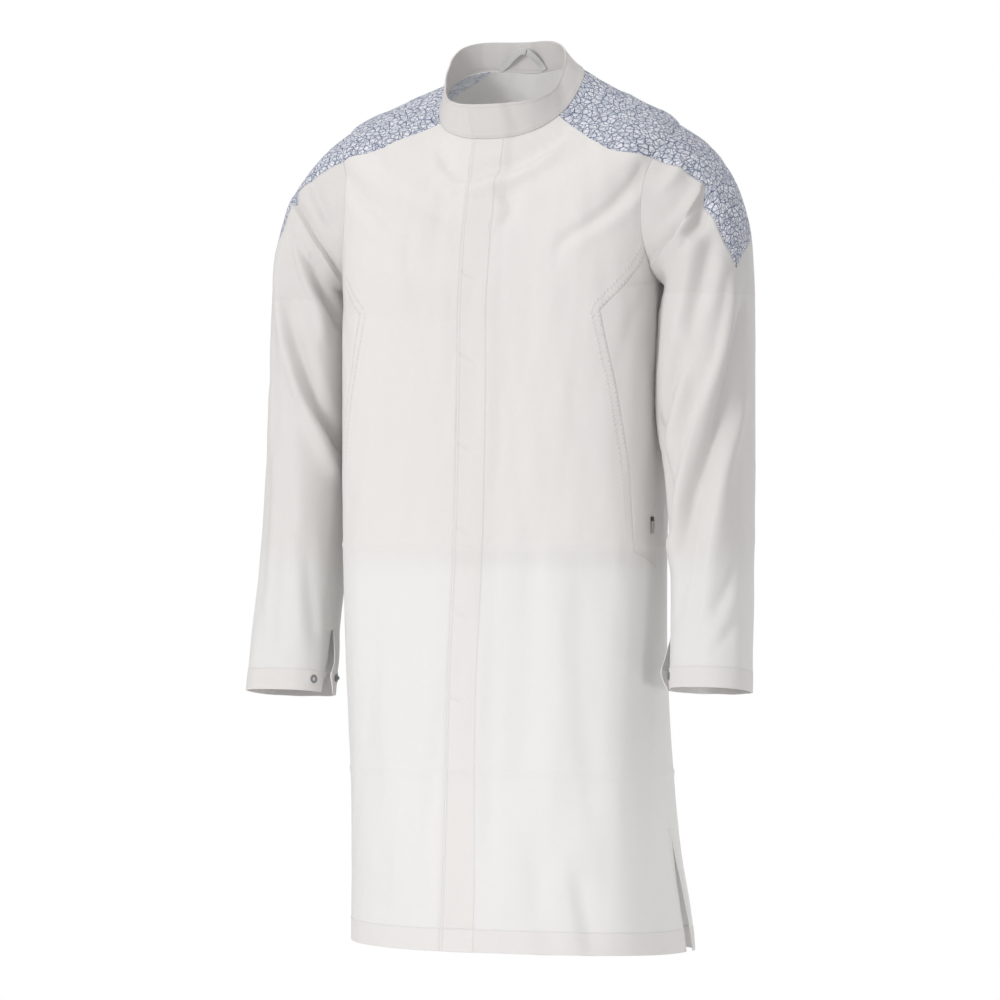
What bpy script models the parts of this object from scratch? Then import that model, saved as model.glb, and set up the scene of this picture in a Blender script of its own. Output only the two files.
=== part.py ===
"""Work coat with a stand collar, printed shoulder yokes, a fly front and open snap cuffs.

Metres.  +Z is up, the front faces -Y and +X is the wearer's left.  The origin lies inside
the base of the neck, where the wearer's shoulders hold the coat up.

Every cloth piece is a wall of even thickness on one of three forms: the body (angle round
the body, way down), the sleeve (angle round the arm, way along) and the collar (angle
round the neck, way up).  Seams are lines on those forms, given as short tables.
"""
import math

import bpy
import numpy as np

CLOTH = 0.0018       # wall of the cloth, hems and all
SEAM = 0.0003        # gap left between two pieces at their seam
OVERLAP = 0.0029     # the left front lies this far over the right front
LAP_RUN = 9.0        # degrees over which the lap comes down to the coat, past its stitching
TAPE = 0.0012        # thickness of the hanger tape and the side tab

# Rings of the body, from the neck seam (0) to the hem (1): half width, reach to the front
# and back, heights at left, right, front and back, squareness, centre.
BODY = np.array([
    # way  width  front   back    left   right   front   back  square  cx     cy
    [0.00, 0.086, 0.078, 0.068,  0.020,  0.012, -0.047,  0.044, 2.30, 0.002, 0.004],
    [0.04, 0.120, 0.088, 0.078,  0.004,  0.006, -0.078,  0.020, 2.25, 0.001, 0.006],
    [0.09, 0.166, 0.098, 0.094, -0.012, -0.006, -0.110, -0.016, 2.30, 0.000, 0.008],
    [0.14, 0.205, 0.106, 0.106, -0.034, -0.026, -0.140, -0.052, 2.50, 0.000, 0.008],
    [0.20, 0.206, 0.111, 0.112, -0.084, -0.082, -0.172, -0.100, 2.80, -0.001, 0.006],
    [0.27, 0.201, 0.115, 0.112, -0.150, -0.152, -0.208, -0.164, 3.10, -0.002, 0.004],
    [0.33, 0.197, 0.117, 0.110, -0.214, -0.217, -0.246, -0.226, 3.20, -0.004, 0.002],
    [0.45, 0.195, 0.119, 0.104, -0.358, -0.358, -0.366, -0.360, 3.20, -0.005, 0.000],
    [0.60, 0.194, 0.122, 0.104, -0.530, -0.530, -0.530, -0.530, 3.00, -0.005, 0.000],
    [0.75, 0.1915, 0.136, 0.116, -0.704, -0.704, -0.700, -0.704, 2.80, -0.0025, 0.000],
    [0.90, 0.1945, 0.160, 0.132, -0.886, -0.882, -0.878, -0.886, 2.60, 0.0085, 0.000],
    [1.00, 0.200, 0.180, 0.146, -1.014, -1.004, -1.004, -1.014, 2.50, 0.016, 0.000],
])
# Rim of the collar, in the same terms as a ring of the body.
RIM = np.array([0.0715, 0.078, 0.060, 0.040, 0.050, -0.005, 0.081, 2.6, -0.005, 0.001])
RIM_SKEW = 0.055                   # fuller at the left front and the right back by this share

# Sections of each arm below the shoulder: height, place, half width and half depth,
# lean of the section about Y and about X, in degrees.  The left arm is carried forward.
LEFT_ARM = np.array([
    # way    z       x       y      wide   deep   lean  pitch
    [0.22, -0.250, 0.2500, -0.002, 0.0520, 0.066, 12.0, 0.0],
    [0.35, -0.330, 0.2510, -0.008, 0.0520, 0.068,  4.0, 0.0],
    [0.50, -0.420, 0.2545, -0.010, 0.0485, 0.066,  0.0, 2.0],
    [0.70, -0.540, 0.2605, -0.016, 0.0455, 0.060,  0.0, 4.0],
    [0.85, -0.620, 0.2645, -0.030, 0.0455, 0.054,  0.0, 6.0],
    [1.00, -0.700, 0.2675, -0.046, 0.0455, 0.050,  0.0, 7.0],
])
RIGHT_ARM = np.array([
    [0.22, -0.250, 0.2530,  0.002, 0.0480, 0.066, 12.0, 0.0],
    [0.35, -0.330, 0.2550,  0.002, 0.0475, 0.068,  4.0, 0.0],
    [0.50, -0.420, 0.2580,  0.000, 0.0475, 0.066,  0.0, 2.0],
    [0.70, -0.543, 0.2625, -0.014, 0.0470, 0.060,  0.0, 4.0],
    [0.85, -0.626, 0.2665, -0.030, 0.0480, 0.054,  0.0, 6.0],
    [1.00, -0.710, 0.2695, -0.046, 0.0480, 0.050,  0.0, 7.0],
])
ARM_BEND = 0.22                    # way at which the shoulder has turned into the arm
ARM_SQUARE = 2.6
SHOULDER_DROP = -30.0              # slope at which the sleeve leaves the armhole
SHOULDER_PULL = (0.06, 0.36)       # how strongly, at the armpit and at the top

ARMHOLE_TOP, ARMHOLE_LOW = 0.142, 0.332
YOKE_END = 0.165                   # way down at which the yoke meets the armhole
INSET_TOP, INSET_END = 0.2915, 0.622
VENT_TOP = 0.885
VENT_FLARE = 0.007                 # the back stands out this far at the foot of a vent
VENT_STEP = 0.0015                 # and the front this far
ARMHOLE_REACH = (21.0, 26.0)       # degrees it reaches to the front and to the back
ARMHOLE_SIDE = 91.0
YOKE_CORNER = 49.3                 # angle round the armhole where the yoke crosses it

# Seams on the body: way down, degrees round from the centre front (right side mirrored).
LAP_EDGE = np.array([[0.0, -14.4], [0.10, -12.2], [0.24, -10.2], [0.44, -8.4],
                     [0.60, -9.6], [0.75, -10.9], [1.0, -11.8]])
LAP_STITCH = np.array([[0.0, 13.0], [0.10, 8.6], [0.24, 7.6], [0.44, 8.8],
                       [0.60, 7.4], [0.75, 4.3], [1.0, 1.4]])
YOKE_FRONT = np.array([[0.0, 59.0], [0.04, 61.5], [0.085, 62.5], [0.13, 65.2], [0.165, 74.75]])
YOKE_BACK = np.array([[0.0, 140.0], [0.04, 131.0], [0.085, 123.5], [0.13, 117.5], [0.165, 111.1]])
PANEL_SEAM = np.array([[0.2915, 73.1], [0.308, 70.6], [0.332, 64.2], [0.3545, 57.0],
                       [0.387, 59.2], [0.432, 62.6], [0.469, 64.9], [0.505, 67.2],
                       [0.552, 69.0], [0.606, 70.4], [0.622, 85.5]])
SIDE_SEAM = np.array([[0.332, 91.0], [0.3545, 88.0], [0.45, 86.0], [0.622, 85.5],
                      [0.75, 88.0], [0.885, 91.0]])
VENT_FRONT = np.array([[0.885, 91.0], [0.94, 92.6], [1.0, 94.5]])
VENT_BACK = np.array([[0.885, 91.0], [0.94, 95.0], [1.0, 98.6]])
# Quiet lines that the inner columns of the panels keep to, near their shaped edges.
CALM_SIDE = np.array([[0.0, 59.0], [0.165, 74.75], [0.3, 78.0], [0.622, 83.0], [1.0, 94.5]])
CALM_BACK = np.array([[0.0, 140.0], [0.165, 111.1], [0.25, 112.0], [0.4, 92.0], [1.0, 98.6]])
# Yoke on the sleeve: way along, degrees round the arm, at its front and back edges.
WEDGE_FRONT = np.array([[0.0, 49.3], [0.028, 56.0], [0.056, 61.5], [0.068, 52.0],
                        [0.088, 49.5], [0.11, 48.5], [0.135, 51.0], [0.154, 54.6], [0.168, 57.4]])
WEDGE_BACK = np.array([[0.0, 130.7], [0.028, 130.0], [0.056, 128.0], [0.068, 127.0],
                       [0.088, 125.0], [0.11, 122.0], [0.135, 100.0], [0.154, 72.0], [0.168, 59.4]])

# Ways down the body at which the panels have a row of points.
ARMHOLE_STEPS = [49.3, 37.0, 25.0, 13.0, 1.0, -11.0, -23.0, -35.0, -48.0, -61.0, -75.0, -90.0]
YOKE_ROWS = [0.0, 0.02, 0.04, 0.062, 0.085, 0.108, 0.13, 0.148, 0.165]
BODY_ROWS = [0.342, 0.3545, 0.387, 0.432, 0.469, 0.505, 0.552, 0.606, 0.622, 0.665, 0.71, 0.755, 0.80,
             0.845, 0.885, 0.915, 0.945, 0.972, 1.0]
SLEEVE_ROWS = [0.0, 0.028, 0.056, 0.068, 0.088, 0.11, 0.135, 0.154, 0.168, 0.178, 0.20, 0.235,
               0.27, 0.31, 0.36, 0.41, 0.46, 0.515, 0.57, 0.625, 0.68, 0.74, 0.80, 0.862,
               0.90, 0.935, 0.966, 0.985, 1.0]
FRONT_COLUMNS, SIDE_COLUMNS, BACK_COLUMNS, YOKE_COLUMNS = 11, 4, 16, 8
WEDGE_ROWS = 9                     # rows of the sleeve that the yoke's wedge runs beside
SLIT_FROM = 0.862                  # the cuff's slit starts here
SLIT_FRONT = np.array([[0.862, 0.0], [0.90, 2.5], [0.935, 5.0], [0.966, 9.0], [0.985, 12.0],
                       [1.0, 14.0]])
SLIT_BACK = np.array([[0.862, 0.0], [0.90, 3.0], [0.935, 7.0], [0.966, 15.0], [0.985, 6.0],
                      [1.0, -3.0]])
SLIT_FLARE = np.array([[0.82, 0.0], [0.862, 0.002], [0.90, 0.007], [0.935, 0.0105],
                       [0.966, 0.012], [1.0, 0.009]])

# Largest folds of the body: from and to (degrees round, way down), height, half width.
BODY_FOLDS = np.array([
    # from         to            height   width
    [68.0, 0.176, 46.0, 0.215, -0.0070, 0.017],
    [58.0, 0.225, 36.0, 0.255,  0.0030, 0.018],
    [-66.0, 0.182, -44.0, 0.215, -0.0055, 0.014],
    [-40.0, 0.225, -41.0, 0.275, -0.0030, 0.010],
    [-4.0, 0.038, -2.0, 0.060, -0.0030, 0.012],
    [-14.0, 0.092, 40.0, 0.040,  0.0022, 0.011],
    [20.0, 0.52, 17.0, 0.80, -0.0035, 0.016],
    [38.0, 0.60, 30.0, 0.84, -0.0040, 0.018],
    [28.0, 0.88, 30.0, 1.02, -0.0065, 0.013],
    [-52.0, 0.62, -47.0, 0.85, -0.0040, 0.016],
    [-16.0, 0.80, -20.0, 1.00, -0.0035, 0.012],
    [60.0, 0.66, 56.0, 0.98,  0.0040, 0.018],
    [120.0, 0.215, 150.0, 0.27, -0.0060, 0.017],
    [-118.0, 0.225, -146.0, 0.285, -0.0055, 0.016],
    [152.0, 0.42, 158.0, 0.80, -0.0055, 0.020],
    [-150.0, 0.50, -156.0, 0.88, -0.0060, 0.020],
    [182.0, 0.60, 184.0, 0.98,  0.0050, 0.022],
    [120.0, 0.62, 124.0, 0.97, -0.0045, 0.016],
    [-122.0, 0.56, -126.0, 0.93, -0.0040, 0.017],
])
# Largest folds of each sleeve: from and to (degrees round, way along), height, half width.
LEFT_FOLDS = np.array([
    [62.0, 0.059, 30.0, 0.066, -0.0050, 0.007],
    [30.0, 0.066, 0.0, 0.070, -0.0060, 0.008],
    [0.0, 0.070, -36.0, 0.054, -0.0050, 0.008],
    [56.0, 0.100, -14.0, 0.112,  0.0050, 0.012],
    [50.0, 0.32, -10.0, 0.60, -0.0050, 0.011],
    [12.0, 0.34, -26.0, 0.60,  0.0050, 0.012],
    [-26.0, 0.60, -62.0, 0.84,  0.0040, 0.012],
    [36.0, 0.46, 14.0, 0.76,  0.0030, 0.011],
    [58.0, 0.76, 38.0, 0.88, -0.0035, 0.009],
    [150.0, 0.10, 200.0, 0.22, -0.0050, 0.011],
    [130.0, 0.36, 190.0, 0.52, -0.0050, 0.012],
    [172.0, 0.30, 236.0, 0.50,  0.0040, 0.012],
    [120.0, 0.70, 160.0, 0.86, -0.0040, 0.012],
])
RIGHT_FOLDS = np.array([
    [66.0, 0.070, 30.0, 0.064, -0.0050, 0.007],
    [30.0, 0.064, -5.0, 0.052, -0.0055, 0.008],
    [-5.0, 0.052, -42.0, 0.028, -0.0045, 0.008],
    [60.0, 0.112, 0.0, 0.100,  0.0045, 0.012],
    [28.0, 0.33, 2.0, 0.48, -0.0055, 0.011],
    [2.0, 0.48, -48.0, 0.60, -0.0050, 0.010],
    [-12.0, 0.17, -52.0, 0.31, -0.0045, 0.010],
    [14.0, 0.46, -10.0, 0.90,  0.0035, 0.012],
    [52.0, 0.60, 46.0, 0.84, -0.0035, 0.011],
    [156.0, 0.12, 206.0, 0.24, -0.0050, 0.011],
    [140.0, 0.34, 200.0, 0.50, -0.0045, 0.012],
    [128.0, 0.64, 168.0, 0.80, -0.0040, 0.012],
])

# Hanger loop on the inside of the collar; in its middle it stands off for the hook.
LOOP = np.array([
    # share degrees up    stand-off
    [0.00, 212.0, 0.07, 0.0000],
    [0.14, 206.0, 0.22, 0.0012],
    [0.30, 198.0, 0.44, 0.0060],
    [0.45, 189.0, 0.66, 0.0086],
    [0.58, 179.5, 0.78, 0.0094],
    [0.70, 171.5, 0.70, 0.0086],
    [0.80, 167.5, 0.50, 0.0060],
    [0.91, 165.5, 0.26, 0.0012],
    [1.00, 164.5, 0.07, 0.0000],
])
LOOP_WIDTH, LOOP_STEPS = 0.008, 20
TAB_AT = (81.8, 0.570)             # side tab, beside the wearer's left side seam
TAB_SIZE = (0.008, 0.020)
BODY_DEPTH = 1.15                  # fall of the body for one whole way, beside the tab
RING_AT = (-56.0, 0.974)           # cuff snaps, degrees round and way along the sleeve
STUD_AT = (-93.0, 0.966)
SNAP_RADIUS = 0.0052
SNAP_SEAT = CLOTH / 2 + 2 * SEAM   # underside of a snap over the middle of the cloth
STUD_LIFT = 0.0097                 # the pointed lap stands out this far under its stud

COLOURS = {
    # piece            colour                 roughness  metal
    "white twill": ((0.86, 0.86, 0.85, 1.0), 0.85, 0.0),
    "printed twill": ((0.52, 0.58, 0.74, 1.0), 0.85, 0.0),
    "white tape": ((0.90, 0.90, 0.88, 1.0), 0.70, 0.0),
    "grey tab": ((0.45, 0.46, 0.47, 1.0), 0.70, 0.0),
    "steel": ((0.42, 0.43, 0.45, 1.0), 0.30, 1.0),
}


def along(table, way):
    """Columns of a table at the given ways, on a smooth curve through its rows."""
    x, y = table[:, 0], table[:, 1:]
    gap = np.diff(x)
    slope = np.diff(y, axis=0) / gap[:, None]
    tangent = np.zeros_like(y)
    tangent[0], tangent[-1] = slope[0], slope[-1]
    tangent[1:-1] = ((slope[:-1] * gap[1:, None] + slope[1:] * gap[:-1, None])
                     / (gap[1:] + gap[:-1])[:, None])
    way = np.clip(np.asarray(way, float), x[0], x[-1])
    i = np.clip(np.searchsorted(x, way, side="right") - 1, 0, len(x) - 2)
    h = gap[i][..., None]
    t = ((way - x[i]) / gap[i])[..., None]
    return ((2 * t**3 - 3 * t**2 + 1) * y[i] + (t**3 - 2 * t**2 + t) * h * tangent[i]
            + (3 * t**2 - 2 * t**3) * y[i + 1] + (t**3 - t**2) * h * tangent[i + 1])


def line(table, way):
    """Straight reading of a two-column table."""
    return np.interp(way, table[:, 0], table[:, 1])


def smooth(x):
    """Soft step from 0 to 1."""
    x = np.clip(x, 0, 1)
    return x * x * (3 - 2 * x)


def ring(turn, a, front, back, left, right, low, high, square, cx, cy):
    """Point on a ring round the body or neck, turn in degrees from the centre front."""
    s, c = np.sin(np.radians(turn)), np.cos(np.radians(turn))
    reach = (np.abs(s / a) ** square + np.abs(c / np.where(c > 0, front, back)) ** square)
    reach = reach ** (-1 / square)
    side = (left + right) / 2 + (left - right) / 2 * s
    mid = (low + high) / 2
    z = mid + (low - high) / 2 * (1.5 * c - 0.5 * c**3) + (side - mid) * (1 - c * c)
    return np.stack([cx + reach * s, cy - reach * c, z], -1)


def body(turn, way):
    turn, way = np.broadcast_arrays(np.asarray(turn, float), np.asarray(way, float))
    return ring(turn, *np.moveaxis(along(BODY, way), -1, 0))


def collar(turn, up):
    turn, up = np.broadcast_arrays(np.asarray(turn, float), np.asarray(up, float))
    base = body(turn, np.zeros_like(up))
    rim = ring(turn, *RIM)
    fuller = 1 + RIM_SKEW * np.sin(2 * np.radians(turn))
    rim[..., :2] = RIM[-2:] + (rim[..., :2] - RIM[-2:]) * fuller[..., None]
    return base + (rim - base) * up[..., None]


def armhole(turn):
    """Where the armhole lies on the body, turn in degrees round the arm (90 is the top)."""
    s, c = np.sin(np.radians(turn)), np.cos(np.radians(turn))
    way = (ARMHOLE_TOP + ARMHOLE_LOW) / 2 - (ARMHOLE_LOW - ARMHOLE_TOP) / 2 * s
    reach = np.where(c > 0, *ARMHOLE_REACH)
    return ARMHOLE_SIDE - reach * np.sign(c) * np.abs(c) ** np.where(s > 0, 0.6, 0.8), way


def arm(turn, way, side):
    table = LEFT_ARM if side > 0 else RIGHT_ARM
    z, x, y, wide, deep, lean, pitch = np.moveaxis(along(table, way), -1, 0)
    s, c = np.sin(np.radians(turn)), np.cos(np.radians(turn))
    reach = (np.abs(s) ** ARM_SQUARE + np.abs(c) ** ARM_SQUARE) ** (-1 / ARM_SQUARE)
    s, c = s * reach * wide, c * reach * deep
    lean, pitch = np.radians(lean), np.radians(pitch)
    return np.stack([x + s * np.cos(lean), y - c * np.cos(pitch),
                     z + s * np.sin(lean) + c * np.sin(pitch)], -1)


def sleeve(turn, way, side):
    """Point on the sleeve; side is 1 for the wearer's left and -1 for the right."""
    turn, way = np.broadcast_arrays(np.asarray(turn, float), np.asarray(way, float))
    flip = np.array([side, 1, 1])
    round_body, down = armhole(turn)
    start = body(round_body * side, down) * flip
    low, high = SHOULDER_PULL
    pull = (low + (high - low) * (1 + np.sin(np.radians(turn))) / 2)[..., None]
    drop = math.radians(SHOULDER_DROP)
    leave = np.array([math.cos(drop), 0, math.sin(drop)]) * pull
    end = arm(turn, np.full_like(way, ARM_BEND), side)
    enter = (arm(turn, np.full_like(way, ARM_BEND + 0.02), side) - end) / 0.02 * ARM_BEND
    t = np.clip(way / ARM_BEND, 0, 1)[..., None]
    bend = ((2 * t**3 - 3 * t**2 + 1) * start + (t**3 - 2 * t**2 + t) * leave
            + (3 * t**2 - 2 * t**3) * end + (t**3 - t**2) * enter)
    lower = arm(turn, np.maximum(way, ARM_BEND), side)
    return np.where((way < ARM_BEND)[..., None], bend, lower) * flip


def facing(form, turn, way, sign):
    """Unit normals of a form; sign makes them point outward."""
    d_turn, d_way = 0.2, 0.0006
    across = form(turn + d_turn, way) - form(turn - d_turn, way)
    down = form(turn, way + d_way) - form(turn, way - d_way)
    normal = np.cross(down, across) * sign
    return normal / np.linalg.norm(normal, axis=-1, keepdims=True)


def body_facing(turn, way):
    return facing(body, turn, np.clip(way, 0.0007, 0.9993), 1)


def collar_facing(turn, up):
    return facing(collar, turn, up, -1)


def sleeve_facing(turn, way, side):
    def form(t, w):
        return sleeve(t, w, side)
    return facing(form, turn, np.clip(way, 0.0007, 0.9993), side)


def halfway(one, two):
    """Direction of a mitre between two walls that meet at a seam."""
    total = one + two
    total = total / np.linalg.norm(total, axis=-1, keepdims=True)
    return total / np.maximum(np.sum(total * one, -1, keepdims=True), 0.7)


def armhole_facing(turn, side):
    turn = np.asarray(turn, float)
    round_body, down = armhole(turn)
    return halfway(body_facing(round_body * side, down),
                   sleeve_facing(turn, np.zeros_like(turn), side))


def neck_facing(turn):
    turn = np.asarray(turn, float)
    return halfway(body_facing(turn, np.zeros_like(turn)),
                   collar_facing(turn, np.full_like(turn, 0.01)))


def fold_lines(table, form):
    """Turns a table of folds into lines in space."""
    return [(form(row[0], row[1]), form(row[2], row[3]), row[4], row[5]) for row in table]


def folded(points, lines):
    """Height of the folds at each point."""
    total = np.zeros(points.shape[:-1])
    for start, end, height, width in lines:
        span = end - start
        t = np.clip(((points - start) @ span) / (span @ span), 0, 1)
        away = np.linalg.norm(points - start - t[..., None] * span, axis=-1)
        total += height * np.exp(-(away / width) ** 2) * (0.35 + 0.65 * np.sin(np.pi * t) ** 0.5)
    return total


def lap(turn, way):
    """How far the left front and the left end of the collar stand off, over the right."""
    return OVERLAP * (1 - smooth((turn - line(LAP_STITCH, way)) / LAP_RUN))


class Cloth:
    """Points with outward directions, and faces that look outward, of one cloth piece."""

    def __init__(self):
        self.points, self.normals, self.faces = [], [], []

    def add(self, points, normals):
        """Adds a grid of points and returns their numbers."""
        first = len(self.points)
        shape = points.shape[:-1]
        self.points += list(points.reshape(-1, 3))
        self.normals += list(normals.reshape(-1, 3))
        return np.arange(first, len(self.points)).reshape(shape)

    def weave(self, ids, flip=False):
        """Faces of a grid of numbers: rows run down, columns run to the wearer's left."""
        for i in range(ids.shape[0] - 1):
            for j in range(ids.shape[1] - 1):
                quad = [ids[i, j], ids[i + 1, j], ids[i + 1, j + 1], ids[i, j + 1]]
                loop = [int(v) for k, v in enumerate(quad) if v != quad[k - 1]]
                if flip:
                    loop.reverse()
                if len(loop) > 2:
                    self.faces.append(loop)

    def rim(self):
        """Free edges, each in the sense of the face that has it."""
        seen = {}
        for face in self.faces:
            for a, b in zip(face, face[1:] + face[:1]):
                seen[(a, b)] = True
        return [(a, b) for a, b in seen if (b, a) not in seen]

    def build(self, name, material, wall=CLOTH):
        """Draws the edges in by half a seam and gives the piece its wall.

        The edge faces are split by one rule, so that pieces that meet at a seam are
        split alike and stay clear of one another.
        """
        points, normals = np.array(self.points), np.array(self.normals)
        rim = self.rim()
        inward = {}
        for a, b in rim:
            edge = points[b] - points[a]
            for v in (a, b):
                way = np.cross(normals[v], edge)
                inward.setdefault(v, []).append(way / np.linalg.norm(way))
        for v, ways in inward.items():
            total = sum(ways)
            grow = max(np.dot(total, ways[0]), 0.35)
            points[v] += total / grow * SEAM / 2
        count = len(points)
        verts = np.concatenate([points + normals * wall / 2, points - normals * wall / 2])
        faces = [list(f) for f in self.faces]
        faces += [[v + count for v in reversed(f)] for f in self.faces]
        rank = points @ np.array([0.31, 0.53, 1.0])
        for a, b in rim:
            if rank[a] > rank[b]:
                faces += [[b, a, b + count], [a, a + count, b + count]]
            else:
                faces += [[b, a, a + count], [b, a + count, b + count]]
        used = sorted({v for f in faces for v in f})
        renumber = {v: i for i, v in enumerate(used)}
        mesh = bpy.data.meshes.new(name)
        mesh.from_pydata([tuple(verts[v]) for v in used], [],
                         [[renumber[v] for v in f] for f in faces])
        mesh.validate()
        mesh.update()
        return place(name, mesh, material)


def place(name, mesh, material):
    obj = bpy.data.objects.new(name, mesh)
    mesh.materials.append(material)
    COAT.objects.link(obj)
    return obj


def paint(name, slot):
    """Material of one piece, after the cloth or metal it is made from."""
    colour, rough, metal = COLOURS[slot]
    material = bpy.data.materials.new(name)
    material.use_nodes = True
    shader = material.node_tree.nodes["Principled BSDF"]
    shader.inputs["Base Color"].default_value = colour
    shader.inputs["Roughness"].default_value = rough
    shader.inputs["Metallic"].default_value = metal
    material.diffuse_color = colour
    return material


def spread(left, right, count):
    """Grid of turns, evenly spread in each row from left to right."""
    return left[:, None] + (right - left)[:, None] * np.linspace(0, 1, count + 1)


def reach_out(inner, outer, calm, count):
    """Turns from a plain edge to a shaped one; only the columns near it follow its shape."""
    s = np.linspace(0, 1, count + 1)
    return inner[:, None] + (calm - inner)[:, None] * s + (outer - calm)[:, None] * s ** 2.4


def body_grid(turns, ways):
    """Points and normals on the body, mitred where a column ends at neck or armhole."""
    normals = body_facing(turns, ways)
    neck = np.isclose(ways, 0)
    normals[neck] = neck_facing(turns[neck])
    return body(turns, ways), normals


def front_outer(ways):
    """Side edge of a front panel: yoke, armhole, inset seam, side seam and vent."""
    out = []
    for way in ways:
        if way <= YOKE_END:
            out.append(line(YOKE_FRONT, way))
        elif way <= INSET_TOP:
            out.append(armhole_at(way, 1))
        elif way <= INSET_END:
            out.append(line(PANEL_SEAM, way))
        elif way <= VENT_TOP:
            out.append(line(SIDE_SEAM, way))
        else:
            out.append(line(VENT_FRONT, way))
    return np.array(out)


def armhole_turn(way, front):
    """Angle round the arm at which the armhole passes the given way down the body."""
    s = (ARMHOLE_TOP + ARMHOLE_LOW - 2 * way) / (ARMHOLE_LOW - ARMHOLE_TOP)
    turn = math.degrees(math.asin(max(-1.0, min(1.0, s))))
    return turn if front > 0 else 180 - turn


def armhole_at(way, front):
    return float(armhole(armhole_turn(way, front))[0])


def vent_lift(turns, ways, front):
    """The back's edge stands out past the front's towards the foot of a side vent."""
    start, end = (70.0, 94.0) if front else (125.0, 99.0)
    near = smooth((np.abs(turns) - start) / (end - start))
    return near * smooth((ways - VENT_TOP) / 0.10) * (VENT_STEP if front else VENT_FLARE)


def front_panel(name, side):
    """One front; the left laps over the right down the centre."""
    ways = np.array(TOP_ROWS)
    outer, calm = front_outer(ways), line(CALM_SIDE, ways)
    if side > 0:
        turns = reach_out(line(LAP_EDGE, ways), outer, calm, FRONT_COLUMNS)
    else:
        turns = -reach_out(1.2 - line(LAP_STITCH, ways), outer, calm, FRONT_COLUMNS)[:, ::-1]
    grid = np.broadcast_to(ways[:, None], turns.shape)
    points, normals = body_grid(turns, grid)
    column = -1 if side > 0 else 0
    for i, way in enumerate(ways):
        if YOKE_END <= way <= INSET_TOP:
            normals[i, column] = armhole_facing(armhole_turn(way, 1), side)
    lift = folded(points, BODY_LINES) + vent_lift(turns, grid, True)
    if side > 0:
        lift = lift + lap(turns, grid)
    cloth = Cloth()
    cloth.weave(cloth.add(points + normals * lift[..., None], normals))
    return cloth.build(name, paint(name, "white twill"))


def side_panel(name, side):
    """Inset under the arm, between the shaped front seam and the side seam."""
    ways = np.array([w for w in TOP_ROWS if INSET_TOP <= w <= INSET_END])
    inner = line(PANEL_SEAM, ways)
    inner[0] = armhole_at(ways[0], 1)
    outer = np.array([armhole_at(w, 1) if w <= ARMHOLE_LOW else line(SIDE_SEAM, w) for w in ways])
    edges = (inner, outer) if side > 0 else (-outer, -inner)
    turns = spread(*edges, SIDE_COLUMNS)
    grid = np.broadcast_to(ways[:, None], turns.shape)
    points, normals = body_grid(turns, grid)
    column = -1 if side > 0 else 0
    for i, way in enumerate(ways):
        if way <= ARMHOLE_LOW:
            normals[i, column] = armhole_facing(armhole_turn(way, 1), side)
    normals[0] = armhole_facing(armhole_turn(ways[0], 1), side)
    points = points + normals * folded(points, BODY_LINES)[..., None]
    cloth = Cloth()
    ids = cloth.add(points, normals)
    ids[0], ids[-1] = ids[0, 0], ids[-1, 0]
    cloth.weave(ids)
    return cloth.build(name, paint(name, "white twill"))


def back_outer(ways):
    """Left edge of the back: yoke, armhole, side seam and vent."""
    out = []
    for way in ways:
        if way <= YOKE_END:
            out.append(line(YOKE_BACK, way))
        elif way <= ARMHOLE_LOW:
            out.append(armhole_at(way, -1))
        elif way <= VENT_TOP:
            out.append(line(SIDE_SEAM, way))
        else:
            out.append(line(VENT_BACK, way))
    return np.array(out)


def back_panel():
    ways = np.array(TOP_ROWS)
    outer = back_outer(ways)
    half = reach_out(np.full_like(outer, 180.0), outer, line(CALM_BACK, ways), BACK_COLUMNS // 2)
    turns = np.concatenate([half[:, ::-1], 360 - half[:, 1:]], axis=1)
    grid = np.broadcast_to(ways[:, None], turns.shape)
    points, normals = body_grid(turns, grid)
    for i, way in enumerate(ways):
        if YOKE_END <= way <= ARMHOLE_LOW:
            normals[i, 0] = armhole_facing(armhole_turn(way, -1), 1)
            normals[i, -1] = armhole_facing(armhole_turn(way, -1), -1)
    signed = np.where(turns > 180, turns - 360, turns)
    lift = folded(points, BODY_LINES) + vent_lift(signed, grid, False)
    cloth = Cloth()
    cloth.weave(cloth.add(points + normals * lift[..., None], normals))
    return cloth.build("back", paint("back", "white twill"))


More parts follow.
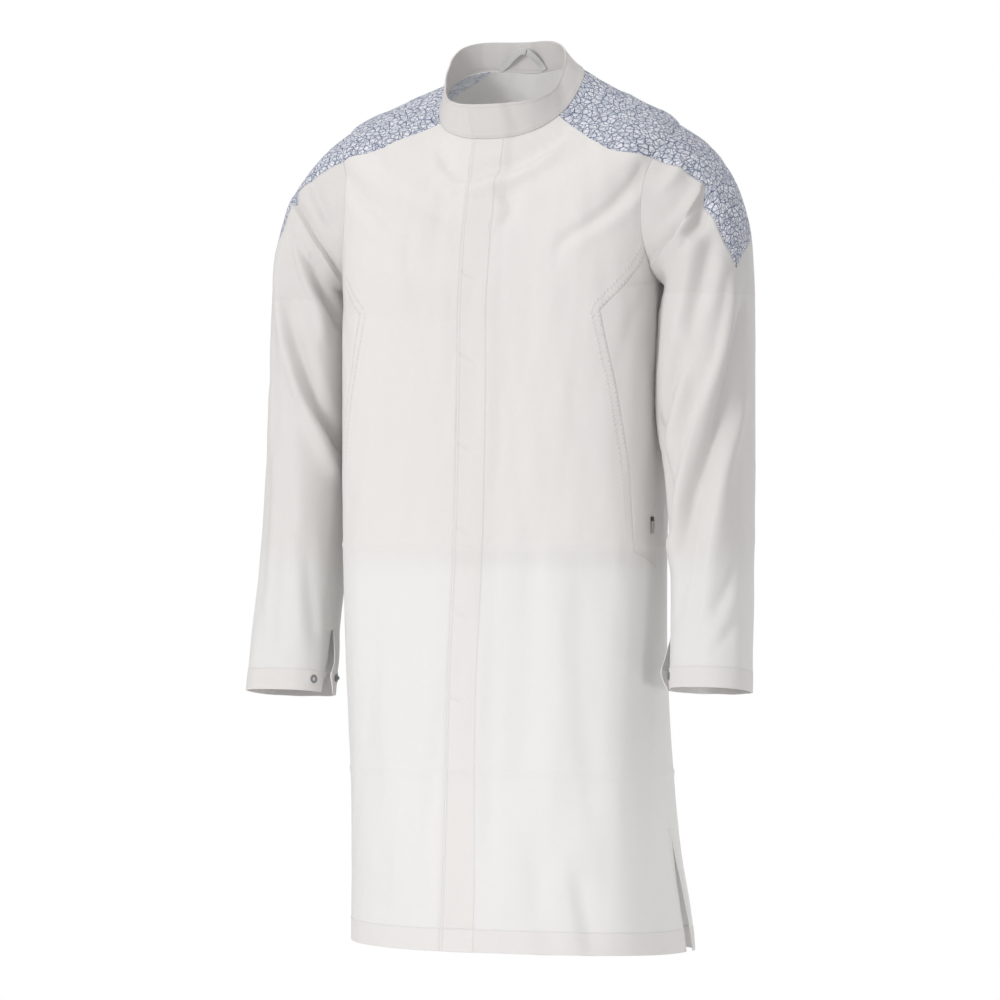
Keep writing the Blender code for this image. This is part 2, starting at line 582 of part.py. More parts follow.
def yoke(name, side):
    """Printed piece over the shoulder, from the collar to its point on the sleeve."""
    u = np.linspace(0, 1, YOKE_COLUMNS + 1)
    s = np.array(YOKE_ROWS)[:, None] / YOKE_ROWS[-1]
    top_turn, top_way = armhole(YOKE_CORNER + (180 - 2 * YOKE_CORNER) * u)
    neck_turn = YOKE_FRONT[0, 1] + (YOKE_BACK[0, 1] - YOKE_FRONT[0, 1]) * u
    front = np.array([line(YOKE_FRONT, w) for w in YOKE_ROWS])[:, None]
    back = np.array([line(YOKE_BACK, w) for w in YOKE_ROWS])[:, None]
    front[-1], back[-1] = top_turn[0], top_turn[-1]
    turns = (1 - s) * neck_turn + s * top_turn
    turns = turns + (1 - u) * (front - turns[:, :1]) + u * (back - turns[:, -1:])
    ways = s * top_way
    ways = ways + (1 - u) * (YOKE_ROWS[-1] * s - ways[:, :1]) + u * (YOKE_ROWS[-1] * s - ways[:, -1:])
    points, normals = body_grid(turns * side, ways)
    arm_turns = YOKE_CORNER + (180 - 2 * YOKE_CORNER) * u
    normals[-1] = armhole_facing(arm_turns, side)
    points = points + normals * folded(points, BODY_LINES)[..., None]
    cloth = Cloth()
    over = cloth.add(points, normals)
    along_arm = np.array(SLEEVE_ROWS[1:WEDGE_ROWS])[:, None]
    first = np.array([line(WEDGE_FRONT, w) for w in along_arm[:, 0]])
    last = np.array([line(WEDGE_BACK, w) for w in along_arm[:, 0]])
    turns = first[:, None] + (last - first)[:, None] * u
    ways = np.broadcast_to(along_arm, turns.shape)
    points = sleeve(turns, ways, side)
    normals = sleeve_facing(turns, ways, side)
    points = points + normals * sleeve_lift(points, turns, ways, side)[..., None]
    down = cloth.add(points, normals)
    ids = np.concatenate([over, down])
    cloth.weave(ids, flip=side < 0)
    return cloth.build(name, paint(name, "printed twill"))


def sleeve_lift(points, turns, ways, side):
    """Folds of a sleeve, fading out at the armhole and at the cuff."""
    fade = smooth(ways / 0.03) * (1 - 0.8 * smooth((ways - 0.88) / 0.06))
    return folded(points, ARM_LINES[side]) * fade


def sleeve_piece(name, side):
    """One sleeve, open along the yoke's wedge and at the slit of the cuff."""
    front = [armhole_turn(w, 1) + 360 for w in ARMHOLE_ROWS]
    back = [armhole_turn(w, -1) for w in ARMHOLE_ROWS]
    first_row = np.array(back + front[::-1][1:])
    share = (first_row - first_row[0]) / (first_row[-1] - first_row[0])
    middle = len(ARMHOLE_ROWS) - 1
    even = np.linspace(0, 1, len(share))
    cloth = Cloth()
    rows = []
    for i, way in enumerate(SLEEVE_ROWS):
        if i < WEDGE_ROWS:
            start, end = line(WEDGE_BACK, way), line(WEDGE_FRONT, way) + 360
        else:
            start = 58.4 + 31.6 * smooth((way - 0.168) / 0.25)
            end = start + 360
        settle = smooth(way / 0.3)
        turns = start + (end - start) * (share + (even - share) * settle)
        rows.append(turns)
    closed = []
    for i, way in enumerate(SLEEVE_ROWS):
        turns = rows[i].copy()
        ways = np.full_like(turns, way)
        near = np.exp(-((np.arange(len(turns)) - middle) / 2.2) ** 2)
        over, under = turns.copy(), turns.copy()
        if way > SLIT_FROM:
            over[middle:] = turns[middle:] + line(SLIT_FRONT, way) * near[middle:]
            under[:middle + 1] = turns[:middle + 1] + line(SLIT_BACK, way) * near[:middle + 1]
        flare = np.where(np.arange(len(turns)) <= middle, near, 0) * line(SLIT_FLARE, way)
        if i >= WEDGE_ROWS:
            count = len(turns) - 1
        else:
            count = len(turns)
        mixed = np.where(np.arange(len(turns)) < middle, under, over)
        points = sleeve(mixed, ways, side)
        normals = (armhole_facing(mixed, side) if i == 0
                   else sleeve_facing(mixed, ways, side))
        lift = sleeve_lift(points, mixed, ways, side)
        lift[:middle] += flare[:middle]
        if way <= SLIT_FROM:
            lift[middle] += flare[middle]
        ids = cloth.add((points + normals * lift[:, None])[:count], normals[:count])
        if i >= WEDGE_ROWS:
            ids = np.append(ids, ids[0])
        back_ids = ids.copy()
        if way > SLIT_FROM:
            point = sleeve(under[middle], way, side)
            normal = sleeve_facing(under[middle], np.array(way), side)
            back_ids[middle] = cloth.add((point + normal * flare[middle])[None], normal[None])[0]
        closed.append((back_ids, ids))
    back_grid = np.array([b for b, f in closed])
    front_grid = np.array([f for b, f in closed])
    cloth.weave(back_grid[:, :middle + 1], flip=side < 0)
    cloth.weave(front_grid[:, middle:], flip=side < 0)
    return cloth.build(name, paint(name, "white twill"))


def collar_piece():
    """Stand collar; its left end laps over its right end at the centre front."""
    start, end = LAP_EDGE[0, 1], 360 + LAP_STITCH[0, 1] - 1.2
    front, back = YOKE_FRONT[0, 1], YOKE_BACK[0, 1]
    spans = [(start, front, FRONT_COLUMNS), (front, back, YOKE_COLUMNS),
             (back, 360 - back, BACK_COLUMNS), (360 - back, 360 - front, YOKE_COLUMNS),
             (360 - front, end, FRONT_COLUMNS)]
    turns = np.concatenate([np.linspace(a, b, n + 1)[:-1] for a, b, n in spans] + [[end]])
    ups = np.array([1.0, 0.66, 0.33, 0.0])
    grid_turns = np.broadcast_to(turns, (len(ups), len(turns)))
    grid_ups = np.broadcast_to(ups[:, None], grid_turns.shape)
    points = collar(grid_turns, grid_ups)
    normals = collar_facing(grid_turns, grid_ups)
    normals[-1] = neck_facing(turns)
    lift = np.where(grid_turns < 180, lap(grid_turns, 0.0), 0.0)
    points = points + normals * lift[..., None]
    cloth = Cloth()
    cloth.weave(cloth.add(points, normals))
    return cloth.build("collar", paint("collar", "white twill"))


def ribbon(centre, across, normals):
    """Strip of tape along a line, of even width."""
    cloth = Cloth()
    grid = np.stack([centre + across, centre - across], 1)
    run, side = centre[1] - centre[0], -across[0]
    cloth.weave(cloth.add(grid, np.repeat(normals[:, None], 2, 1)),
                flip=np.dot(np.cross(run, side), normals[0]) < 0)
    return cloth


def hanger_loop():
    turns, ups, stand = np.moveaxis(along(LOOP, np.linspace(0, 1, LOOP_STEPS + 1)), -1, 0)
    normals = collar_facing(turns, ups)
    centre = collar(turns, ups) - normals * (CLOTH / 2 + TAPE / 2 + 2.5 * SEAM + stand)[:, None]
    run = np.gradient(centre, axis=0)
    across = np.cross(normals, run)
    across = across / np.linalg.norm(across, axis=1, keepdims=True) * LOOP_WIDTH / 2
    return ribbon(centre, across, normals).build("hanger_loop", paint("hanger_loop", "white tape"), TAPE)


def side_tab():
    """Plain tab sewn in beside the wearer's left side seam."""
    here = np.full(3, TAB_AT[0])
    ways = TAB_AT[1] + np.array([0.0, 0.5, 1.0]) * TAB_SIZE[1] / BODY_DEPTH
    normals = body_facing(here, ways)
    centre = body(here, ways)
    centre = centre + normals * (folded(centre, BODY_LINES)[:, None] + CLOTH / 2 + TAPE / 2 + SEAM)
    across = np.cross(normals, np.array([0, 0, 1.0])) * TAB_SIZE[0] / 2
    return ribbon(centre, across, normals).build("side_tab", paint("side_tab", "grey tab"), TAPE)


def lathe(name, profile, origin, axis, steps=20):
    """Solid of revolution from a closed profile of (radius, height) pairs."""
    axis = axis / np.linalg.norm(axis)
    one = np.cross(axis, [0, 0, 1.0])
    one = one / np.linalg.norm(one)
    two = np.cross(axis, one)
    verts, faces, rings = [], [], []
    for radius, height in profile:
        if radius == 0:
            rings.append([len(verts)] * steps)
            verts.append(tuple(origin + axis * height))
            continue
        rings.append(list(range(len(verts), len(verts) + steps)))
        for k in range(steps):
            t = 2 * math.pi * k / steps
            verts.append(tuple(origin + axis * height
                               + (one * math.cos(t) + two * math.sin(t)) * radius))
    for low, high in zip(rings, rings[1:] + rings[:1]):
        for k in range(steps):
            quad = [low[k], low[(k + 1) % steps], high[(k + 1) % steps], high[k]]
            loop = [v for i, v in enumerate(quad) if v != quad[i - 1]]
            if len(loop) > 2:
                faces.append(loop)
    mesh = bpy.data.meshes.new(name)
    mesh.from_pydata(verts, [], faces)
    mesh.validate()
    mesh.update()
    return place(name, mesh, paint(name, "steel"))


RING_PROFILE = [(0.0026, 0.0), (SNAP_RADIUS, 0.0), (SNAP_RADIUS, 0.0007), (0.0044, 0.0014),
                (0.0034, 0.0014), (0.0026, 0.0008)]
STUD_PROFILE = [(0.0, 0.0), (0.0048, 0.0), (0.0048, 0.0006), (0.0024, 0.0010), (0.0018, 0.0018),
                (0.0023, 0.0030), (0.0018, 0.0036), (0.0, 0.0038)]


def snaps(word, side):
    """Open snap of one cuff: socket ring on the front edge, stud on the pointed lap."""
    turn, way = np.array(RING_AT[0]), np.array(RING_AT[1])
    point, normal = sleeve(turn, way, side), sleeve_facing(turn, way, side)
    lift = float(sleeve_lift(point, turn, way, side)) + SNAP_SEAT
    ring_snap = lathe("snap_ring_" + word, RING_PROFILE, point + normal * lift, normal)
    turn, way = np.array(STUD_AT[0]), np.array(STUD_AT[1])
    point, normal = sleeve(turn, way, side), sleeve_facing(turn, way, side)
    stud = lathe("snap_stud_" + word, STUD_PROFILE, point + normal * (STUD_LIFT + SNAP_SEAT), normal)
    return ring_snap, stud


for old in list(bpy.data.objects):
    bpy.data.objects.remove(old, do_unlink=True)
COAT = bpy.data.collections.new("work coat")
bpy.context.scene.collection.children.link(COAT)

ARMHOLE_ROWS = [(ARMHOLE_TOP + ARMHOLE_LOW) / 2
                - (ARMHOLE_LOW - ARMHOLE_TOP) / 2 * math.sin(math.radians(a)) for a in ARMHOLE_STEPS]
ARMHOLE_ROWS[0], ARMHOLE_ROWS[7], ARMHOLE_ROWS[-1] = YOKE_END, INSET_TOP, ARMHOLE_LOW
TOP_ROWS = YOKE_ROWS[:-1] + ARMHOLE_ROWS + BODY_ROWS
BODY_LINES = fold_lines(BODY_FOLDS, body)
ARM_LINES = {
    1: fold_lines(LEFT_FOLDS, lambda t, w: sleeve(t, w, 1)),
    -1: fold_lines(RIGHT_FOLDS, lambda t, w: sleeve(t, w, -1)),
}

front_panel("front_left", 1)
front_panel("front_right", -1)
side_panel("side_left", 1)
side_panel("side_right", -1)
back_panel()
yoke("yoke_left", 1)
yoke("yoke_right", -1)
sleeve_piece("sleeve_left", 1)
sleeve_piece("sleeve_right", -1)
collar_piece()
hanger_loop()
side_tab()
snaps("left", 1)
snaps("right", -1)
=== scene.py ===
"""Work coat in its cloth: drape, seams, sewing and print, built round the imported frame.

Metres.  +Z is up, the front faces -Y and +X is the wearer's left.  Places on the body are
degrees round from the centre front and way down (0 at the neck, 1 at the hem); places on a
sleeve are degrees round the arm (90 is the top) and way along (0 armhole, 1 cuff).
"""
import math

import bpy
import numpy as np
from bpy.props import FloatProperty, FloatVectorProperty, PointerProperty
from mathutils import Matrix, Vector
from mathutils.bvhtree import BVHTree


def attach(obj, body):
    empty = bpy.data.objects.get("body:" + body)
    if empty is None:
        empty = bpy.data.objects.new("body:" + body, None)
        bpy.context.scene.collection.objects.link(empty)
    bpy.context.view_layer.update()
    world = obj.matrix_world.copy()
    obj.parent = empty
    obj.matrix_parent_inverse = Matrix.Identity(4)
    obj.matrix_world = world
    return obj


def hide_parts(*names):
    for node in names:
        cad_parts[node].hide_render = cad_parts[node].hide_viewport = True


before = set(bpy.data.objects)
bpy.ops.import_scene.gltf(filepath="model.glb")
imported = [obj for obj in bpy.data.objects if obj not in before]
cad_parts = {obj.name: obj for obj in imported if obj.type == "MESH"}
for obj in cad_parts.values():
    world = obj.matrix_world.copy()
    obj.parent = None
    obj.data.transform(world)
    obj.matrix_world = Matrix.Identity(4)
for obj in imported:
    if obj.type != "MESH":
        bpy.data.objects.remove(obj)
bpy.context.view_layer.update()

bl_info = {
    "name": "Work coat",
    "version": (1, 0, 0),
    "blender": (4, 5, 0),
    "location": "View3D > Sidebar > Work coat",
    "description": "Cloth, sewing and print of a work coat",
    "category": "Object",
}

BODY_PART = "root"
SIDES = (("left", 1), ("right", -1))
SNAP_KINDS = ("snap_ring_", "snap_stud_")

# ---------------------------------------------------------------- forms of the coat

OVERLAP = 0.0029     # the left front lies this far over the right front
LAP_SEWN = 0.0030    # stitched this far in from the edge of the lap
LAP_UNDER = 1.2      # degrees by which the right side ends short of the lap's stitching
LAP_RUN = 9.0        # degrees over which the lap comes down to the coat, past its stitching
SEAM = 0.00002       # gap left between two pieces at their seam
CLOTH = 0.0018       # wall of the cloth in the frame
WALL, DOUBLE_WALL = 0.0010, 0.0019      # drawn wall of single and of doubled cloth

# Rings of the body, from the neck seam (0) to the hem (1).
BODY = np.array([
    # way  width  front   back    left   right   front   back  square  cx     cy
    [0.00, 0.086, 0.078, 0.068,  0.020,  0.012, -0.047,  0.044, 2.30, 0.002, 0.004],
    [0.04, 0.120, 0.088, 0.078,  0.004,  0.006, -0.078,  0.020, 2.25, 0.001, 0.006],
    [0.09, 0.166, 0.098, 0.094, -0.012, -0.006, -0.110, -0.016, 2.30, 0.000, 0.008],
    [0.14, 0.205, 0.106, 0.106, -0.034, -0.026, -0.140, -0.052, 2.50, 0.000, 0.008],
    [0.20, 0.206, 0.111, 0.112, -0.084, -0.082, -0.172, -0.100, 2.80, -0.001, 0.006],
    [0.27, 0.201, 0.115, 0.112, -0.150, -0.152, -0.208, -0.164, 3.10, -0.002, 0.004],
    [0.33, 0.197, 0.117, 0.110, -0.214, -0.217, -0.246, -0.226, 3.20, -0.004, 0.002],
    [0.45, 0.195, 0.119, 0.104, -0.358, -0.358, -0.366, -0.360, 3.20, -0.005, 0.000],
    [0.60, 0.194, 0.122, 0.104, -0.530, -0.530, -0.530, -0.530, 3.00, -0.005, 0.000],
    [0.75, 0.1915, 0.136, 0.116, -0.704, -0.704, -0.700, -0.704, 2.80, -0.0025, 0.000],
    [0.90, 0.1945, 0.160, 0.132, -0.886, -0.882, -0.878, -0.886, 2.60, 0.0085, 0.000],
    [1.00, 0.200, 0.180, 0.146, -1.014, -1.004, -1.004, -1.014, 2.50, 0.016, 0.000],
])
# Rim of the collar, in the same terms as a ring of the body.
RIM = np.array([0.0715, 0.078, 0.060, 0.040, 0.050, -0.005, 0.081, 2.6, -0.005, 0.001])
RIM_SKEW = 0.055     # fuller at the left front and the right back by this share

# Sections of the arm below the shoulder, with the section's lean about Y and X in degrees.
LEFT_ARM = np.array([
    # way    z       x       y      wide   deep   lean  pitch
    [0.22, -0.250, 0.2500, -0.002, 0.0520, 0.066, 12.0, 0.0],
    [0.35, -0.330, 0.2510, -0.008, 0.0520, 0.068,  4.0, 0.0],
    [0.50, -0.420, 0.2545, -0.010, 0.0485, 0.066,  0.0, 2.0],
    [0.70, -0.540, 0.2605, -0.016, 0.0455, 0.060,  0.0, 4.0],
    [0.85, -0.620, 0.2645, -0.030, 0.0455, 0.054,  0.0, 6.0],
    [1.00, -0.700, 0.2675, -0.046, 0.0455, 0.050,  0.0, 7.0],
])
RIGHT_ARM = np.array([
    [0.22, -0.250, 0.2530,  0.002, 0.0480, 0.066, 12.0, 0.0],
    [0.35, -0.330, 0.2550,  0.002, 0.0475, 0.068,  4.0, 0.0],
    [0.50, -0.420, 0.2580,  0.000, 0.0475, 0.066,  0.0, 2.0],
    [0.70, -0.543, 0.2625, -0.014, 0.0470, 0.060,  0.0, 4.0],
    [0.85, -0.626, 0.2665, -0.030, 0.0480, 0.054,  0.0, 6.0],
    [1.00, -0.710, 0.2695, -0.046, 0.0480, 0.050,  0.0, 7.0],
])
ARM_BEND, ARM_SQUARE, ARM_STEP = 0.22, 2.6, 0.02
SHOULDER_DROP = math.radians(-30.0)
SHOULDER_PULL = (0.06, 0.36)
ARMHOLE_TOP, ARMHOLE_LOW = 0.142, 0.332
ARMHOLE_REACH, ARMHOLE_SIDE = (21.0, 26.0), 91.0
YOKE_CORNER = 49.3
YOKE_END, WEDGE_END = 0.165, 0.168
INSET_TOP, INSET_CORNER, INSET_FOOT, INSET_END = 0.2915, 0.3545, 0.606, 0.622
WEDGE_CORNER, WEDGE_TURN = 0.056, 0.11   # ways of the corners in the yoke's edges on a sleeve
VENT_TOP, VENT_OPENS, VENT_FLARE, VENT_STEP = 0.885, 0.10, 0.007, 0.0015
HEM, CUFF = 0.979, 0.9545          # ways at which the turned-up hems are stitched
SLIT_FROM = 0.862

# Seams on the body: way down, degrees round from the centre front (right side mirrored).
LAP_EDGE = np.array([[0.0, -14.4], [0.10, -12.2], [0.24, -10.2], [0.44, -8.4],
                     [0.60, -9.6], [0.75, -10.9], [1.0, -11.8]])
LAP_STITCH = np.array([[0.0, 13.0], [0.10, 8.6], [0.24, 7.6], [0.44, 8.8],
                       [0.60, 7.4], [0.75, 4.3], [1.0, 1.4]])
YOKE_FRONT = np.array([[0.0, 59.0], [0.04, 61.5], [0.085, 62.5], [0.13, 65.2], [0.165, 73.6]])
YOKE_BACK = np.array([[0.0, 140.0], [0.04, 131.0], [0.085, 123.5], [0.13, 117.5], [0.165, 111.7]])
PANEL_SEAM = np.array([[0.2915, 73.1], [0.308, 70.6], [0.332, 64.2], [0.3545, 57.0],
                       [0.387, 59.2], [0.432, 62.6], [0.469, 64.9], [0.505, 67.2],
                       [0.552, 69.0], [0.606, 70.4], [0.622, 85.5]])
SIDE_SEAM = np.array([[0.332, 91.0], [0.3545, 88.0], [0.45, 86.0], [0.622, 85.5],
                      [0.75, 88.0], [0.885, 91.0]])
VENT_FRONT = np.array([[0.885, 91.0], [0.94, 92.6], [1.0, 94.5]])
VENT_BACK = np.array([[0.885, 91.0], [0.94, 95.0], [1.0, 98.6]])
# Quiet lines that the inner columns of the panels keep to.
CALM_SIDE = np.array([[0.0, 59.0], [0.165, 73.6], [0.3, 78.0], [0.622, 83.0], [1.0, 94.5]])
CALM_BACK = np.array([[0.0, 140.0], [0.165, 111.7], [0.25, 112.0], [0.4, 92.0], [1.0, 98.6]])
# Yoke on the sleeve: way along, degrees round the arm, at its front and back edges.
WEDGE_FRONT = np.array([[0.0, 49.3], [0.028, 56.0], [0.056, 61.5], [0.068, 52.0],
                        [0.088, 49.5], [0.11, 48.5], [0.135, 51.0], [0.154, 54.6], [0.168, 57.4]])
WEDGE_BACK = np.array([[0.0, 130.7], [0.028, 130.0], [0.056, 128.0], [0.068, 127.0],
                       [0.088, 125.0], [0.11, 122.0], [0.135, 100.0], [0.154, 72.0], [0.168, 59.4]])
SLIT_FRONT = np.array([[0.862, 0.0], [0.90, 2.5], [0.935, 5.0], [0.966, 9.0], [0.985, 12.0],
                       [1.0, 14.0]])
SLIT_BACK = np.array([[0.862, 0.0], [0.90, 3.0], [0.935, 7.0], [0.966, 15.0], [0.985, 6.0],
                      [1.0, -3.0]])
SLIT_FLARE = np.array([[0.82, 0.0], [0.862, 0.002], [0.90, 0.007], [0.935, 0.0105],
                       [0.966, 0.012], [1.0, 0.009]])

# ---------------------------------------------------------------- folds

# Each fold: height mm, half width mm, lean (one flank wider than the other), places.
BODY_FOLDS = (
    # chest and placket
    (-6.0, 10, 0.35, (71, 0.166), (68.5, 0.184), (62.7, 0.206), (54.5, 0.226), (44, 0.243)),
    (3.6, 11, 0.0, (72, 0.208), (66, 0.221), (58, 0.240), (47, 0.258)),
    (-1.6, 7, 0.0, (45.0, 0.238), (42.5, 0.252), (41.5, 0.285)),
    (1.4, 12, 0.0, (70, 0.150), (60, 0.166), (50, 0.190)),
    (-5.2, 11, 0.3, (-73.5, 0.176), (-59.7, 0.194), (-50.4, 0.211), (-42.2, 0.224)),
    (3.0, 12, 0.0, (-70, 0.204), (-60, 0.220), (-50, 0.244)),
    (-2.0, 7, 0.3, (-41.2, 0.222), (-39.4, 0.250), (-38.8, 0.285)),
    (-7.0, 11, 0.3, (-13.4, 0.069), (-6.1, 0.062), (2.9, 0.055), (15.1, 0.054), (27.2, 0.052),
     (36.9, 0.049), (44.7, 0.045), (52.2, 0.038)),
    (7.0, 13, 0.2, (-10, 0.090), (-3, 0.083), (5, 0.079), (16, 0.078), (28, 0.075), (38, 0.070),
     (46, 0.062)),
    (-4.2, 9, 0.2, (-40.4, 0.036), (-31.4, 0.057), (-20.7, 0.072)),
    (2.0, 11, 0.0, (-40, 0.056), (-30, 0.078), (-20, 0.094)),
    (-3.6, 9, 0.3, (12.5, 0.100), (15.9, 0.115), (19.6, 0.141), (13.9, 0.164)),
    (-1.0, 9, 0.0, (-30, 0.045), (-36, 0.10), (-38, 0.16)),
    (-0.9, 14, 0.0, (-24, 0.12), (-28, 0.22), (-29, 0.34)),
    (-1.0, 14, 0.0, (22, 0.22), (27, 0.32), (29, 0.44)),
    (1.0, 16, 0.0, (40, 0.32), (43, 0.42), (44, 0.52)),
    (-1.4, 10, 0.3, (76, 0.338), (68, 0.372), (63, 0.42)),
    (-1.4, 10, 0.3, (-76, 0.338), (-67, 0.376), (-61, 0.43)),
    (-1.0, 14, 0.0, (-31, 0.44), (-28, 0.52), (-27, 0.62)),
    # skirt
    (-2.8, 20, 0.2, (31.2, 0.552), (29.4, 0.697), (25.2, 0.828)),
    (-3.2, 22, 0.3, (51.4, 0.614), (49.9, 0.737), (47.2, 0.855)),
    (2.0, 18, 0.0, (40, 0.60), (39, 0.72), (36, 0.86)),
    (-4.4, 13, 0.5, (39.7, 0.925), (41.9, 0.963), (44.4, 1.02)),
    (-3.0, 15, 0.0, (26, 0.90), (28, 1.02)),
    (-3.4, 19, -0.2, (-49.2, 0.657), (-48.2, 0.761), (-44.4, 0.861)),
    (1.6, 18, 0.0, (-36, 0.68), (-35, 0.80), (-31, 0.97)),
    (-1.2, 8, 0.0, (-13.3, 0.615), (-14.1, 0.74), (-16, 0.83)),
    (-3.0, 11, 0.3, (-18.5, 0.82), (-19.9, 0.898), (-19.4, 0.965)),
    (3.0, 22, 0.0, (60, 0.66), (58, 0.82), (56, 0.98)),
    (-2.0, 15, 0.0, (70, 0.70), (71, 0.82), (70, 0.96)),
    (-1.8, 15, 0.0, (-63, 0.70), (-65, 0.84), (-65, 0.97)),
    (-1.0, 12, 0.0, (9, 0.64), (10, 0.76), (9, 0.88)),
    (1.0, 12, 0.0, (15, 0.86), (14, 0.93), (13, 1.01)),
    # back
    (-7.5, 15, 0.2, (118, 0.205), (134, 0.234), (150, 0.268)),
    (4.0, 14, 0.0, (124, 0.245), (138, 0.266), (152, 0.300)),
    (-6.8, 14, 0.2, (-116, 0.215), (-130, 0.246), (-146, 0.280)),
    (3.4, 14, 0.0, (-122, 0.256), (-136, 0.280), (-148, 0.318)),
    (-6.0, 22, 0.0, (152, 0.42), (155, 0.61), (158, 0.80)),
    (-6.4, 22, 0.0, (-150, 0.50), (-153, 0.70), (-156, 0.88)),
    (6.0, 24, 0.0, (182, 0.60), (183, 0.79), (184, 0.98)),
    (-4.6, 18, 0.0, (120, 0.62), (122, 0.80), (124, 0.97)),
    (-4.2, 18, 0.0, (-122, 0.56), (-124, 0.75), (-126, 0.93)),
    (-2.2, 13, 0.0, (166, 0.08), (162, 0.19), (161, 0.30)),
    (-2.0, 13, 0.0, (194, 0.10), (199, 0.20), (200, 0.31)),
    (-2.2, 9, 0.3, (148, 0.33), (160, 0.36), (172, 0.40)),
    (-2.0, 9, 0.3, (212, 0.35), (200, 0.385), (190, 0.43)),
    (2.4, 14, 0.0, (136, 0.33), (139, 0.45), (138, 0.58)),
    (2.2, 14, 0.0, (-134, 0.34), (-137, 0.46), (-138, 0.56)),
    (-3.2, 16, 0.0, (140, 0.66), (142, 0.82), (143, 0.99)),
    (-2.8, 15, 0.0, (-140, 0.68), (-139, 0.84), (-138, 0.98)),
    (-2.8, 14, 0.0, (171, 0.70), (170, 0.85), (169, 1.0)),
    (2.0, 15, 0.0, (108, 0.74), (110, 0.86), (111, 0.99)),
    (1.8, 15, 0.0, (-108, 0.70), (-109, 0.84), (-110, 0.98)),
)
LEFT_FOLDS = (
    # cap, above the folded edge
    (-3.6, 8, 0.3, (66, 0.004), (52, 0.006), (38, 0.004)),
    (2.2, 8, 0.0, (66, 0.022), (46, 0.026), (28, 0.018)),
    (-1.2, 9, 0.0, (58, 0.042), (34, 0.046), (6, 0.040)),
    # trough and lobe under it
    (-7.0, 9, 0.2, (54, 0.067), (42, 0.076), (28, 0.084), (14, 0.086)),
    (5.5, 20, 0.0, (-82, 0.19), (-88, 0.26), (-88, 0.36), (-80, 0.50)),
    (3.6, 13, 0.0, (22, 0.094), (2, 0.140), (-8, 0.210), (-20, 0.290)),
    (-3.6, 11, 0.0, (40, 0.112), (22, 0.150), (11, 0.196), (0, 0.262)),
    (2.8, 13, 0.0, (44, 0.150), (32, 0.190), (22, 0.250)),
    # long crests and valleys from the point of the yoke down to the inner arm
    (5.6, 10, 0.5, (50, 0.190), (42.2, 0.271), (32.2, 0.345), (11.2, 0.430), (-14.4, 0.543),
     (-35.4, 0.640), (-54, 0.700)),
    (-5.4, 10, 0.3, (66, 0.240), (54.2, 0.306), (42.7, 0.390), (28.7, 0.470), (9.6, 0.548),
     (-11.9, 0.625), (-32.9, 0.720)),
    (4.2, 11, 0.3, (72.2, 0.400), (39.7, 0.538), (22.2, 0.676), (5.1, 0.853)),
    (-3.8, 10, 0.0, (-14, 0.300), (-26, 0.370), (-44, 0.440)),
    (3.4, 10, 0.0, (-6, 0.345), (-20, 0.420), (-38, 0.500)),
    (-4.4, 9, 0.2, (-58, 0.440), (-54.9, 0.500), (-44.9, 0.583), (-42, 0.66)),
    (-1.5, 8, 0.2, (56, 0.722), (51.2, 0.736), (34.2, 0.801), (20, 0.836)),
    (1.2, 9, 0.0, (54, 0.780), (47.2, 0.806), (33.7, 0.858), (20, 0.900)),
    (-1.2, 8, 0.0, (56, 0.850), (50.2, 0.863), (22.7, 0.921)),
    (-2.0, 9, 0.0, (-2, 0.60), (-14, 0.70), (-30, 0.84)),
    (-3.6, 9, 0.2, (-52, 0.09), (-60, 0.17), (-66, 0.30)),
    # back of the arm
    (-5.0, 12, 0.0, (150, 0.10), (175, 0.15), (200, 0.22)),
    (-6.0, 13, 0.2, (138, 0.36), (164, 0.43), (192, 0.52)),
    (4.6, 13, 0.0, (172, 0.30), (204, 0.39), (236, 0.50)),
    (-5.0, 13, 0.0, (136, 0.70), (150, 0.77), (168, 0.86)),
    (-3.4, 11, 0.0, (168, 0.62), (190, 0.68), (214, 0.78)),
    (2.6, 11, 0.0, (136, 0.50), (146, 0.58), (162, 0.64)),
)
